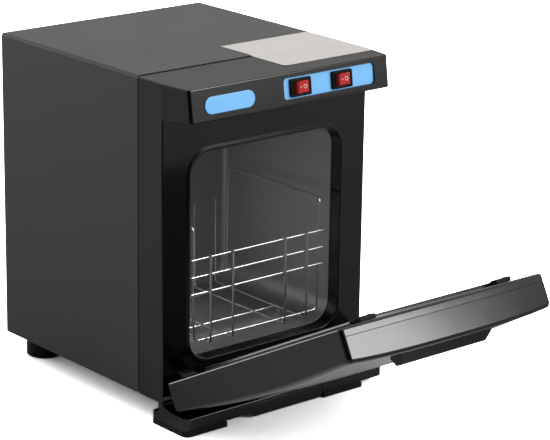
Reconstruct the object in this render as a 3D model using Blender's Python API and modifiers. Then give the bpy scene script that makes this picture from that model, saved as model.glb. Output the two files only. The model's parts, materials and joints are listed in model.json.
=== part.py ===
"""Table-top hot towel cabinet: sheet-metal case, moulded front frame with a header that
holds two rocker switches, aluminium chamber with wire basket and lamp, and a drop-down
front door shown open. Lengths in metres, +Z up, the open door points to -Y."""
import math

import bmesh
import bpy
from mathutils import Matrix, Quaternion, Vector

# Fits shared by every piece
CLEARANCE = 0.0003
OVERRUN = 0.0050
SHEET = 0.0010

# Case of folded sheet, measured from the seam at its front and from its lower edge
CASE_WIDTH = 0.2500
CASE_HALF = CASE_WIDTH / 2
CASE_DEPTH = 0.2230
CASE_HEIGHT = 0.3105
CASE_CORNER = 0.0030
PAN_FLANGE = 0.0120
PAN_CORNER = 0.0015
REAR_INSET = 0.0003
VENT_WIDTH = 0.0400
VENT_HEIGHT = 0.0040
VENT_PITCH = 0.0100
VENT_TOP_DROP = 0.0300
VENT_INSET = 0.0650
VENT_OFFSET = CASE_HALF - VENT_INSET
VENT_COUNT = 4
SLOT_END_SHARE = 0.476

# Cable gland in the rear panel
GLAND_INSET = 0.0550
GLAND_X = CASE_HALF - GLAND_INSET
GLAND_Z = 0.0300
GLAND_NECK = 0.0060
GLAND_FLANGE = 0.0090
GLAND_BORE = 0.0036
GLAND_OUTSIDE = 0.0024
GLAND_INSIDE = 0.0040

# Front frame moulding
STRIP_DEPTH = 0.0363
HEADER_TOP_REACH = 0.0699
HEADER_FOOT_REACH = 0.0739
HEADER_TOP_DROP = 0.0011
HEADER_HEIGHT = 0.0315
HEADER_RAKE = 0.0029
HEADER_TOP_Z = CASE_HEIGHT - HEADER_TOP_DROP
HEADER_FOOT_Z = HEADER_TOP_Z - HEADER_HEIGHT
HEADER_ROOT_Z = HEADER_FOOT_Z - HEADER_RAKE
HEADER_TAPER = 0.0033
HEADER_CORNER = 0.0040
HEADER_EDGE = 0.0014
WALL = 0.0025
FRONT_WALL = 0.0050
MOUTH_INSET = 0.0317
MOUTH_DROP = 0.0370
MOUTH_HALF = CASE_HALF - MOUTH_INSET
MOUTH_LOW = 0.0340
MOUTH_HIGH = HEADER_ROOT_Z - MOUTH_DROP
MOUTH_CORNER = 0.0230
LIP_SIDE = 0.0025
LIP_RISE = 0.0040
LIP_PROUD = 0.0018
REVEAL_DEPTH = 0.0135
LIP_LAP = 0.0012

# Control panel set into the header
PLATE_INSET = 0.0785
PLATE_CENTRE_X = CASE_HALF - PLATE_INSET
PLATE_CENTRE_V = 0.0004
PLATE_WIDTH = 0.1130
PLATE_HEIGHT = 0.0201
PLATE_CORNER = 0.0040
PLATE_SHEET = 0.0008
RECESS = 0.0026
SWITCH_WIDTH = 0.0216
SWITCH_HEIGHT = 0.0144
SWITCH_DEPTH = 0.0180
SWITCH_END_WALL = 0.0011
SWITCH_SIDE_WALL = 0.0012
SWITCH_WELL_WIDTH = SWITCH_WIDTH - 2 * SWITCH_END_WALL
SWITCH_WELL_HEIGHT = SWITCH_HEIGHT - 2 * SWITCH_SIDE_WALL
SWITCH_WELL_DEPTH = 0.0110
BEZEL_END = 0.0017
BEZEL_SIDE = 0.0013
BEZEL_WIDTH = SWITCH_WIDTH + 2 * BEZEL_END
BEZEL_HEIGHT = SWITCH_HEIGHT + 2 * BEZEL_SIDE
BEZEL_CORNER = 0.0015
BEZEL_PROUD = 0.0008
UV_SWITCH_OFFSET = 0.0362
POWER_SWITCH_OFFSET = 0.0152
UV_SWITCH_X = PLATE_CENTRE_X - UV_SWITCH_OFFSET
POWER_SWITCH_X = PLATE_CENTRE_X + POWER_SWITCH_OFFSET
TERMINAL_SPREAD = 0.0050
TERMINAL_WIDTH = 0.0048
TERMINAL_LENGTH = 0.0080
ROCKER_GAP = 0.0004
ROCKER_RADIUS = SWITCH_WELL_WIDTH / 2 - ROCKER_GAP
ROCKER_HEIGHT = SWITCH_WELL_HEIGHT - 2 * CLEARANCE
ROCKER_VALLEY = 0.0016
ROCKER_PIVOT_DEPTH = 0.0006
ROCKER_PIN = 0.0010
ROCKER_PIN_REACH = 0.0008
ROCKER_PIN_SPAN = SWITCH_WELL_HEIGHT + 2 * ROCKER_PIN_REACH
ROCKER_TIP = math.radians(22)
ROCKER_HEEL = math.radians(-28)
ROCKER_TILT = math.radians(12)
PILL_INSET = 0.0496
PILL_CENTRE_X = PILL_INSET - CASE_HALF
PILL_CENTRE_V = -0.0011
PILL_WIDTH = 0.0585
PILL_HEIGHT = 0.0160
PILL_SHEET = 0.0010
PILL_EDGE = 0.0004
PILL_END_SHARE = 0.4975

# Blank vinyl sheet stuck across the seam on the top
STICKER_INSET = 0.0035
STICKER_WIDTH = 0.1115
STICKER_RIGHT = CASE_HALF - STICKER_INSET
STICKER_LEFT = STICKER_RIGHT - STICKER_WIDTH
STICKER_FRONT = 0.0484
STICKER_BACK = 0.0468
STICKER_SHEET = 0.0003

# Base moulding, feet and drip tray
BASE_INSET = 0.0005
BASE_HALF = CASE_HALF - BASE_INSET
BASE_BACK = 0.0300
BASE_TAIL = 0.0220
BASE_FRONT = 0.0720
BASE_LEDGE = 0.0024
BASE_TROUGH = 0.0055
BASE_LIP = 0.0059
BASE_TROUGH_START = 0.0480
BASE_TAIL_TOP = 0.0100
BASE_DEPTH = 0.0180
BASE_CORNER = 0.0055
BASE_HOLLOW_ROOF = 0.0090
BASE_HOLLOW_WALL = 0.0062
FOOT_DROP = 0.0240
FOOT_PROUD = 0.0010
FOOT_LENGTH = 0.0500
FOOT_CORNER = 0.0070
FOOT_EDGE = 0.0008
RIGHT_FOOT_INSET = 0.0782
RIGHT_FOOT_START = BASE_HALF - RIGHT_FOOT_INSET
REAR_FOOT_INSET = 0.0290
REAR_FOOT_BACK = 0.0240
REAR_FOOT_X = CASE_HALF - REAR_FOOT_INSET
REAR_FOOT_Y = CASE_DEPTH - REAR_FOOT_BACK
REAR_FOOT_RADIUS = 0.0176
REAR_FOOT_NECK = 0.0160
REAR_FOOT_EDGE = 0.0016
TRAY_FRONT_TOP = 0.0093
TRAY_FRONT_FOOT = 0.0225
TRAY_FRONT_SHEET = 0.0024
TRAY_CHAMFER = 0.0042
TRAY_FOOT_GAP = 0.0008
TRAY_FLANGE = 0.0045
TRAY_FRONT_LAP = 0.0020
TRAY_FRONT_HALF = RIGHT_FOOT_START - TRAY_FOOT_GAP
TRAY_FLANGE_HALF = TRAY_FRONT_HALF - TRAY_FRONT_LAP
TRAY_HALF = TRAY_FLANGE_HALF - TRAY_FLANGE
BASE_HOLLOW_IN = TRAY_FRONT_HALF + CLEARANCE + BASE_HOLLOW_WALL
TRAY_FLOOR = 0.0205
TRAY_WALL = 0.0015
TRAY_BACK = 0.0500
TRAY_FLANGE_SHEET = 0.0014
RAIL_FOOT_LAP = 0.0034
RAIL_FLANGE = 0.0080
RAIL_OVER = 0.0120
RAIL_BACK = TRAY_BACK + RAIL_OVER

# Chamber liner, heater and insulation
LINER_REAR_ROOM = 0.0810
LINER_BACK = CASE_DEPTH - LINER_REAR_ROOM
LINER_BACK_CORNER = 0.0060
LINER_FLANGE = 0.0060
WRAP_SHEET = 0.0240
WRAP_LAP = 0.0030
WRAP_TOP = MOUTH_HIGH + WRAP_SHEET
WRAP_LOW = MOUTH_LOW - WRAP_LAP
BACK_SLAB = 0.0200
BACK_SLAB_INSET = 0.0053
BACK_SLAB_HALF = MOUTH_HALF - BACK_SLAB_INSET
SLAB_MARGIN = 0.0020
SENSOR_OFFSET = 0.0217
SENSOR_X = POWER_SWITCH_X - SENSOR_OFFSET
SENSOR_RISE = 0.0460
SENSOR_Z = MOUTH_LOW + SENSOR_RISE
SENSOR_CUT = 0.0130
FLOOR_SLAB_INSET = 0.0033
FLOOR_SLAB_HALF = MOUTH_HALF - FLOOR_SLAB_INSET
HEATER_HALF = 0.0650
HEATER_FRONT = 0.0050
HEATER_END = 0.0220
HEATER_BACK = LINER_BACK - HEATER_END
HEATER_SHEET = 0.0018
CLAMP_HALF = 0.0500
THERMOSTAT_CAP = 0.0085
THERMOSTAT_CAP_SHEET = 0.0030
THERMOSTAT_BODY = 0.0072
THERMOSTAT_HEIGHT = 0.0110
THERMOSTAT_TAB_SPREAD = 0.0040
THERMOSTAT_TAB = 0.0024
THERMOSTAT_TAB_HEIGHT = 0.0060
FUSE_RADIUS = 0.0020
FUSE_HALF = 0.0065
FUSE_CLIP_HALF = 0.0100
FUSE_CLIP_HEIGHT = 0.0080

# Lamp under the chamber roof
LAMP_Y = 0.0600
LAMP_DROP = 0.0140
LAMP_RADIUS = 0.0078
LAMP_EDGE = 0.0010
HOLDER_SHEET = 0.0100
HOLDER_GAP = 0.0005
LAMP_HALF = MOUTH_HALF - MOUTH_CORNER - HOLDER_SHEET - HOLDER_GAP
HOLDER_HALF_DEPTH = 0.0100
HOLDER_HEIGHT = 0.0230
HOLDER_EDGE = 0.0015
REFLECTOR_END = 0.0038
REFLECTOR_HALF = LAMP_HALF - REFLECTOR_END
REFLECTOR_FLAT = 0.0100
REFLECTOR_REACH = 0.0180
REFLECTOR_FALL = 0.0100
REFLECTOR_SHEET = 0.0006
GUARD_RADIUS = 0.0009
GUARD_REACH = 0.0240
GUARD_FALL = 0.0260
GUARD_BEND = 0.0060
GUARD_SPREADS = (-0.0480, -0.0160, 0.0160, 0.0480)

# Electrical pieces standing on the pan behind the chamber
BLOCK_OVER = 0.0030
BLOCK_LENGTH = 0.0740
BLOCK_RIGHT = GLAND_X + BLOCK_OVER
BLOCK_LEFT = BLOCK_RIGHT - BLOCK_LENGTH
BALLAST_INSET = 0.0150
BALLAST_BLOCK_GAP = 0.0290
BALLAST_BACK = 0.0330
BALLAST_LEFT = BALLAST_INSET - CASE_HALF
BALLAST_RIGHT = BLOCK_LEFT - BALLAST_BLOCK_GAP
BALLAST_X = (BALLAST_LEFT + BALLAST_RIGHT) / 2
BALLAST_Y = CASE_DEPTH - BALLAST_BACK
BALLAST_HALF = (BALLAST_RIGHT - BALLAST_LEFT) / 2
BALLAST_CORE_INSET = 0.0150
BALLAST_CORE_HALF = BALLAST_HALF - BALLAST_CORE_INSET
BALLAST_HALF_DEPTH = 0.0180
BALLAST_HEIGHT = 0.0340
BALLAST_COIL_SIDE = 0.0080
BALLAST_COIL_HALF = BALLAST_HALF - BALLAST_COIL_SIDE
BALLAST_FOOT = 0.0020
BALLAST_COIL_INSET = 0.0030
BALLAST_COIL_LOW = 0.0080
BALLAST_COIL_HIGH = 0.0260
STARTER_OFFSET = 0.0140
STARTER_BACK = 0.0180
STARTER_X = BLOCK_LEFT - STARTER_OFFSET
STARTER_Y = CASE_DEPTH - STARTER_BACK
STARTER_RADIUS = 0.0100
STARTER_HEIGHT = 0.0400
STARTER_SOCKET = 0.0120
STARTER_SOCKET_HEIGHT = 0.0080
STARTER_EDGE = 0.0015
BLOCK_DEPTH = 0.0200
BLOCK_BACK_GAP = 0.0250
BLOCK_BACK = CASE_DEPTH - BLOCK_BACK_GAP
BLOCK_FRONT = BLOCK_BACK - BLOCK_DEPTH
BLOCK_HEIGHT = 0.0160
BLOCK_WELL = 0.0022
BLOCK_WELL_DEPTH = 0.0050
WIRE_RADIUS = 0.0012
WIRE_LANE_GAP = 0.0080
WIRE_LANE_Y = LINER_BACK + BACK_SLAB + WIRE_LANE_GAP
WIRE_LOW = 0.0100
WIRE_RISE = 0.0060
WIRE_HIGH = WRAP_TOP + WIRE_RISE
WIRE_FRONT = 0.0200
WIRE_BEND = 0.0050
COMB_LEVEL = 0.0450
COMB_HALF = 0.0026
COMB_MARGIN = 0.0040

# Door, measured in its own frame: s from hinge end to free end, t from inner to outer face
AXIS_S = 0.0105
AXIS_T = 0.0144
AXIS_Y = -0.0567
AXIS_Z = 0.0138
DOOR_INSET = 0.0045
DOOR_GAP = 0.0039
DOOR_HALF = CASE_HALF - DOOR_INSET
DOOR_LENGTH = HEADER_FOOT_Z - AXIS_Z + AXIS_S - DOOR_GAP
DOOR_SEAM = 0.0085
DOOR_WALL = 0.0025
DOOR_EDGE = 0.0045
DOOR_INNER_EDGE = 0.0018
DOOR_HINGE_THICKNESS = 0.0306
DOOR_OUTLINE_SHARES = ((0.140, 1.007), (0.273, 1.059), (0.403, 1.111), (0.517, 1.124),
                       (0.610, 1.124), (0.746, 1.072), (0.879, 1.003), (0.946, 0.971))
DOOR_FREE_THICKNESS = 0.0290
PILLOW_HINGE = 0.0008
PILLOW_MIDDLE = 0.0048
PILLOW_FREE = 0.0038
PILLOW_RAMP = 0.1100
STATION_SHARES = (0, 0.25, 0.5, 0.7, 0.85)
DOOR_OPEN = math.radians(27)
RAISED_INSET = 0.0023
RAISED_END = 0.0181
RAISED_HALF = MOUTH_HALF - RAISED_INSET
RAISED_LOW = 0.0260
RAISED_HIGH = DOOR_LENGTH - RAISED_END
RAISED_HEIGHT = 0.0025
RAISED_CORNER = 0.0060
LINER_PLATE_MARGIN = 0.0003
GASKET_GAP = 0.0024
GASKET_WIDTH = 0.0044
GASKET_INNER = RAISED_HALF + GASKET_GAP
GASKET_OUTER = GASKET_INNER + GASKET_WIDTH
GASKET_HEIGHT = 0.0032
GASKET_EDGE = 0.0010
FILL_MARGIN = 0.0080
FILL_START = 0.0260
BRACKET_INSET = 0.0220
BRACKET_WIDTH = 0.0170
BRACKET_OUTER = CASE_HALF - BRACKET_INSET
BRACKET_INNER = BRACKET_OUTER - BRACKET_WIDTH
NOTCH_GAP = 0.0005
NOTCH_INNER = BRACKET_INNER - NOTCH_GAP
NOTCH_OUTER = BRACKET_OUTER + NOTCH_GAP
NOTCH_LENGTH = 0.0215
NOTCH_DEPTH = 0.0254
BOSS_SHEET = 0.0090
BOSS_LENGTH = 0.0180
BOSS_START = 0.0040
BOSS_DEPTH = 0.0210
PIN_RADIUS = 0.0020
PIN_REACH = 0.0065
PIN_INNER = NOTCH_INNER - PIN_REACH
PIN_OUTER = NOTCH_OUTER + PIN_REACH
BRACKET_EAR = 0.0100
GASKET_BRACKET_GAP = 0.0009
GASKET_LOW = AXIS_S + BRACKET_EAR + GASKET_BRACKET_GAP
CATCH_INSET = 0.0375
CATCH_END = 0.0132
CATCH_X = DOOR_HALF - CATCH_INSET
CATCH_S = DOOR_LENGTH - CATCH_END
CATCH_HALF = 0.0092
CATCH_HALF_LENGTH = 0.0043
CATCH_HEIGHT = 0.0046
CATCH_EDGE = 0.0008
STUD_RADIUS = 0.0028
STUD_OFFSET = 0.0050
STUD_RISE = 0.0007
STUD_DEPTH = 0.0020
HANDLE_ROOT_HALF = 0.0660
HANDLE_TIP_HALF = 0.0500
HANDLE_ROOT_DEPTH = 0.0200
HANDLE_TIP_DEPTH = 0.0060
HANDLE_END = 0.0157
HANDLE_FACE_S = DOOR_LENGTH - HANDLE_END
HANDLE_ROOT_T = 0.0240
HANDLE_TIP_T = 0.0453
HANDLE_EDGE = 0.0010
MAGNET_HALF = 0.0070
MAGNET_HALF_HEIGHT = 0.0055
MAGNET_SHEET = 0.0065

# Wire basket, measured at wire centres
BASKET_WIRE = 0.0011
BASKET_WELD = 0.0019
BASKET_RAIL_Y = -0.0255
BASKET_SIDE_GAP = 0.0107
BASKET_FOOT_INSET = 0.0052
BASKET_TOP_INSET = 0.0036
BASKET_FLOOR_RISE = 0.0095
BASKET_FOOT_RISE = 0.0047
BASKET_TOP_RISE = 0.1290
BASKET_BACK_GAP = 0.0250
BASKET_RAIL_RISES = (0.0960, 0.0787, 0.0619)
BASKET_RAIL_HALF = MOUTH_HALF - BASKET_SIDE_GAP
BASKET_FOOT_HALF = BASKET_RAIL_HALF - BASKET_FOOT_INSET
BASKET_TOP_HALF = BASKET_RAIL_HALF - BASKET_TOP_INSET
BASKET_FLOOR_Z = MOUTH_LOW + BASKET_FLOOR_RISE
BASKET_FOOT_Z = BASKET_FLOOR_Z + BASKET_FOOT_RISE
BASKET_TOP_Z = MOUTH_LOW + BASKET_TOP_RISE
BASKET_BACK = LINER_BACK - BASKET_BACK_GAP
BASKET_BEND = 0.0060
BASKET_UPRIGHTS = (-0.0602, -0.0328, 0.0328, 0.0602)
BASKET_UPRIGHT_OVER = 0.0030
BASKET_LEG_HALF = 0.0680
BASKET_LEG_FRONT = 0.0240
BASKET_LEG_END = 0.0220
BASKET_LEG_BACK = BASKET_BACK - BASKET_LEG_END

# Counts that set how finely round shapes are drawn
ARC_STEPS = 4
BEND_STEPS = 3
TURN_STEPS = 24
ROD_SIDES = 16
RAIL_SIDES = 8


def clear_scene():
    for item in list(bpy.data.objects):
        bpy.data.objects.remove(item)


def new_collection(name):
    group = bpy.data.collections.new(name)
    bpy.context.scene.collection.children.link(group)
    return group


def add_axis(name, parent, location, turn=0):
    """Empty that carries a group of pieces, turned about its own X axis."""
    empty = bpy.data.objects.new(name, None)
    PARTS.objects.link(empty)
    empty.parent = parent
    empty.location = location
    empty.rotation_euler = (turn, 0, 0)
    return empty


def finish(name, colour, metallic, roughness):
    material = bpy.data.materials.new(name)
    material.use_nodes = True
    shader = material.node_tree.nodes["Principled BSDF"]
    shader.inputs["Base Color"].default_value = (*colour, 1)
    shader.inputs["Metallic"].default_value = metallic
    shader.inputs["Roughness"].default_value = roughness
    return material


def add_part(name, mesh, parent, look, location=(0, 0, 0)):
    """Named sub-part with a material of its own; look is (colour, metallic, roughness)."""
    mesh.name = name
    mesh.shade_smooth()
    mesh.set_sharp_from_angle(angle=SHARP_ANGLE)
    part = bpy.data.objects.new(name, mesh)
    PARTS.objects.link(part)
    part.parent = parent
    part.location = location
    mesh.materials.append(finish(name, *look))
    return part


def combine(part, mesh, operation):
    """Boolean of a part with a hidden helper solid given in the same parent's frame."""
    helper = bpy.data.objects.new(part.name + "_" + operation.lower(), mesh)
    CUTTERS.objects.link(helper)
    helper.parent = part.parent
    helper.hide_render = True
    helper.display_type = "WIRE"
    step = part.modifiers.new(operation.title(), "BOOLEAN")
    step.operation = operation
    step.solver = "EXACT"
    step.object = helper
    return helper


def solidify(part, thickness, side):
    step = part.modifiers.new("Solidify", "SOLIDIFY")
    step.thickness = thickness
    step.offset = side
    step.use_even_offset = True


def bevel(part, width):
    step = part.modifiers.new("Bevel", "BEVEL")
    step.width = width
    step.segments = 2
    step.limit_method = "ANGLE"
    step.angle_limit = BEVEL_ANGLE


def mesh_from(shape):
    mesh = bpy.data.meshes.new("shape")
    shape.to_mesh(mesh)
    shape.free()
    return mesh


def gather(meshes):
    """One mesh that holds several separate solids."""
    shape = bmesh.new()
    for mesh in meshes:
        shape.from_mesh(mesh)
    return mesh_from(shape)


def box(low, high):
    shape = bmesh.new()
    bmesh.ops.create_cube(shape, size=1)
    low = Vector(low)
    high = Vector(high)
    for vertex in shape.verts:
        share = vertex.co + Vector((0.5, 0.5, 0.5))
        vertex.co = low + share * (high - low)
    return mesh_from(shape)


def rod(start, end, radius, sides=None):
    """Round bar between two points."""
    start = Vector(start)
    end = Vector(end)
    turn = Vector((0, 0, 1)).rotation_difference(end - start).to_matrix().to_4x4()
    place = Matrix.Translation((start + end) / 2) @ turn
    shape = bmesh.new()
    bmesh.ops.create_cone(shape, cap_ends=True, segments=sides or ROD_SIDES, radius1=radius,
                          radius2=radius, depth=(end - start).length, matrix=place)
    return mesh_from(shape)


def rounded(points, radii, steps, closed):
    """Path whose corners become arcs; an arc starts radius / tan(half angle) before its corner."""
    path = []
    count = len(points)
    for index, point in enumerate(points):
        here = Vector(point)
        radius = radii[index]
        if not radius or (not closed and index in (0, count - 1)):
            path.append(here)
            continue
        back = (Vector(points[index - 1]) - here).normalized()
        ahead = (Vector(points[(index + 1) % count]) - here).normalized()
        half = back.angle(ahead) / 2
        centre = here + (back + ahead).normalized() * (radius / math.sin(half))
        first = here + back * (radius / math.tan(half)) - centre
        last = here + ahead * (radius / math.tan(half)) - centre
        axis = first.cross(last).normalized()
        for step in range(steps + 1):
            share = step / steps
            path.append(centre + Quaternion(axis, first.angle(last) * share) @ first)
    return path


def outline(corners, steps=None):
    """Closed flat outline from (a, b, radius) corners."""
    points = [(a, b, 0) for a, b, radius in corners]
    radii = [radius for a, b, radius in corners]
    return rounded(points, radii, steps or ARC_STEPS, True)


def rectangle(left, right, low, high, radius=0):
    corners = [(left, low, radius), (right, low, radius), (right, high, radius), (left, high, radius)]
    return outline(corners)


def weld(mesh):
    shape = bmesh.new()
    shape.from_mesh(mesh)
    bmesh.ops.remove_doubles(shape, verts=shape.verts, dist=MERGE)
    shape.to_mesh(mesh)
    shape.free()
    return mesh


def curve_mesh(curve):
    holder = bpy.data.objects.new("curve", curve)
    bpy.context.scene.collection.objects.link(holder)
    bpy.context.view_layer.update()
    evaluated = holder.evaluated_get(bpy.context.evaluated_depsgraph_get())
    mesh = bpy.data.meshes.new_from_object(evaluated)
    bpy.data.objects.remove(holder)
    return weld(mesh)


def draw(curve, path, closed):
    spline = curve.splines.new("POLY")
    spline.points.add(len(path) - 1)
    for point, place in zip(spline.points, path):
        point.co = (place[0], place[1], place[2], 1)
    spline.use_cyclic_u = closed


AXES = {
    "X": Matrix(((0, 0, 1, 0), (1, 0, 0, 0), (0, 1, 0, 0), (0, 0, 0, 1))),
    "Y": Matrix(((1, 0, 0, 0), (0, 0, -1, 0), (0, 1, 0, 0), (0, 0, 0, 1))),
    "Z": Matrix.Identity(4),
}


def prism(outlines, axis, low, high):
    """Flat outline with holes, extruded along an axis: X takes (y, z), Y (x, z), Z (x, y)."""
    curve = bpy.data.curves.new("outline", "CURVE")
    curve.dimensions = "2D"
    curve.fill_mode = "BOTH"
    curve.extrude = (high - low) / 2
    for path in outlines:
        draw(curve, path, True)
    mesh = curve_mesh(curve)
    middle = Vector([(low + high) / 2 if name == axis else 0 for name in "XYZ"])
    mesh.transform(Matrix.Translation(middle) @ AXES[axis])
    return mesh


def bent_wire(paths, radius, closed=False):
    """Round wire along each path, with flat ends."""
    curve = bpy.data.curves.new("wire", "CURVE")
    curve.dimensions = "3D"
    curve.bevel_depth = radius
    curve.bevel_resolution = 2
    curve.use_fill_caps = True
    for path in paths:
        draw(curve, path, closed)
    return curve_mesh(curve)


def skin(rows, closed):
    """Surface through rows of points; closed rows join their last point to their first."""
    shape = bmesh.new()
    grid = [[shape.verts.new(point) for point in row] for row in rows]
    count = len(rows[0])
    for above, below in zip(grid, grid[1:]):
        for index in range(count if closed else count - 1):
            after = (index + 1) % count
            shape.faces.new((above[index], above[after], below[after], below[index]))
    return shape, grid


def folded_sheet(path, low, high):
    """Open sheet that follows a bent (x, z) path from y = low to y = high."""
    rows = [[(a, y, b) for a, b, zero in path] for y in (low, high)]
    shape, grid = skin(rows, False)
    return mesh_from(shape)


def turned(name, profile, closed, parent, look, location, turn=0):
    """Piece turned from an (r, z) profile listed down its outer side."""
    mesh = bpy.data.meshes.new(name)
    edges = [(index, index + 1) for index in range(len(profile) - 1)]
    if closed:
        edges.append((len(profile) - 1, 0))
    mesh.from_pydata([(r, 0, z) for r, z in profile], edges, [])
    part = add_part(name, mesh, parent, look, location)
    part.rotation_euler = (turn, 0, 0)
    step = part.modifiers.new("Screw", "SCREW")
    step.steps = TURN_STEPS
    step.render_steps = TURN_STEPS
    step.use_merge_vertices = True
    step.merge_threshold = MERGE
    step.use_smooth_shade = True
    return part


def bevel_edges(mesh, axis, level, width):
    """Round the edges that lie in the plane axis = level."""
    shape = bmesh.new()
    shape.from_mesh(mesh)
    chosen = [edge for edge in shape.edges
              if all(abs(vertex.co[axis] - level) < MERGE for vertex in edge.verts)
              and edge.calc_face_angle(0) > BEVEL_ANGLE]
    bmesh.ops.bevel(shape, geom=chosen, offset=width, segments=2, profile=0.5, affect="EDGES")
    shape.to_mesh(mesh)
    shape.free()
    return mesh


MERGE = 0.00002
SHARP_ANGLE = math.radians(35)
BEVEL_ANGLE = math.radians(40)
INNER_HALF = CASE_HALF - SHEET - CLEARANCE
FRAME_POCKET_HALF = CASE_HALF - HEADER_TAPER - WALL
REVEAL_Y = -STRIP_DEPTH + REVEAL_DEPTH
LINER_FRONT = REVEAL_Y + CLEARANCE
LINER_OUTER = MOUTH_HALF + SHEET
PANEL_Y = CASE_DEPTH - REAR_INSET
HEADER_LEAN = math.atan((HEADER_FOOT_REACH - HEADER_TOP_REACH) / (HEADER_TOP_Z - HEADER_FOOT_Z))
SWITCH_TOP = -RECESS + PLATE_SHEET + 2 * CLEARANCE

BLACK_GLOSS = ((0.012, 0.012, 0.013), 0, 0.18)
BLACK_PAINT = ((0.015, 0.015, 0.016), 0, 0.35)
BLACK_RUBBER = ((0.02, 0.02, 0.02), 0, 0.8)
ALUMINIUM = ((0.72, 0.73, 0.75), 1, 0.35)
STEEL = ((0.7, 0.7, 0.72), 1, 0.2)
CHROME = ((0.85, 0.85, 0.87), 1, 0.08)
WOOL = ((0.75, 0.68, 0.5), 0, 0.95)


def build_case(origin):
    half = CASE_HALF
    corners = [(-half, 0, 0), (-half, CASE_HEIGHT, 0), (half, CASE_HEIGHT, 0), (half, 0, 0)]
    path = rounded([(a, b, 0) for a, b, zero in corners], [0, CASE_CORNER, CASE_CORNER, 0],
                   ARC_STEPS, False)
    mesh = folded_sheet(path, CLEARANCE, CASE_DEPTH)
    case = add_part("outer_case", mesh, origin, BLACK_PAINT)
    solidify(case, SHEET, -1)

    flange = PAN_FLANGE
    points = [(-INNER_HALF, flange, 0), (-INNER_HALF, 0, 0), (INNER_HALF, 0, 0), (INNER_HALF, flange, 0)]
    path = rounded(points, [0, PAN_CORNER, PAN_CORNER, 0], ARC_STEPS, False)
    mesh = folded_sheet(path, CLEARANCE, PANEL_Y - SHEET - CLEARANCE)
    pan = add_part("base_pan", mesh, origin, BLACK_PAINT)
    solidify(pan, SHEET, 1)


def build_rear(origin):
    low = SHEET + CLEARANCE
    high = CASE_HEIGHT - SHEET - CLEARANCE
    shapes = [rectangle(-INNER_HALF, INNER_HALF, low, high, PAN_CORNER)]
    for side in (-1, 1):
        for row in range(VENT_COUNT):
            level = high - VENT_TOP_DROP - row * VENT_PITCH
            left = side * VENT_OFFSET - VENT_WIDTH / 2
            shapes.append(rectangle(left, left + VENT_WIDTH, level, level + VENT_HEIGHT,
                                    VENT_HEIGHT * SLOT_END_SHARE))
    hole = GLAND_NECK + CLEARANCE
    circle = [(GLAND_X + hole * math.cos(math.tau * step / TURN_STEPS),
               GLAND_Z + hole * math.sin(math.tau * step / TURN_STEPS), 0) for step in range(TURN_STEPS)]
    shapes.append(circle)
    mesh = prism(shapes, "Y", PANEL_Y - SHEET, PANEL_Y)
    add_part("rear_panel", mesh, origin, BLACK_PAINT)

    inner = -SHEET - CLEARANCE
    profile = [(GLAND_BORE, GLAND_OUTSIDE), (GLAND_FLANGE, GLAND_OUTSIDE), (GLAND_FLANGE, CLEARANCE),
               (GLAND_NECK, CLEARANCE), (GLAND_NECK, inner), (GLAND_FLANGE, inner),
               (GLAND_FLANGE, inner - GLAND_INSIDE), (GLAND_BORE, inner - GLAND_INSIDE)]
    turned("cord_gland", profile, True, origin, BLACK_RUBBER, (GLAND_X, PANEL_Y, GLAND_Z), -math.pi / 2)


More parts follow.
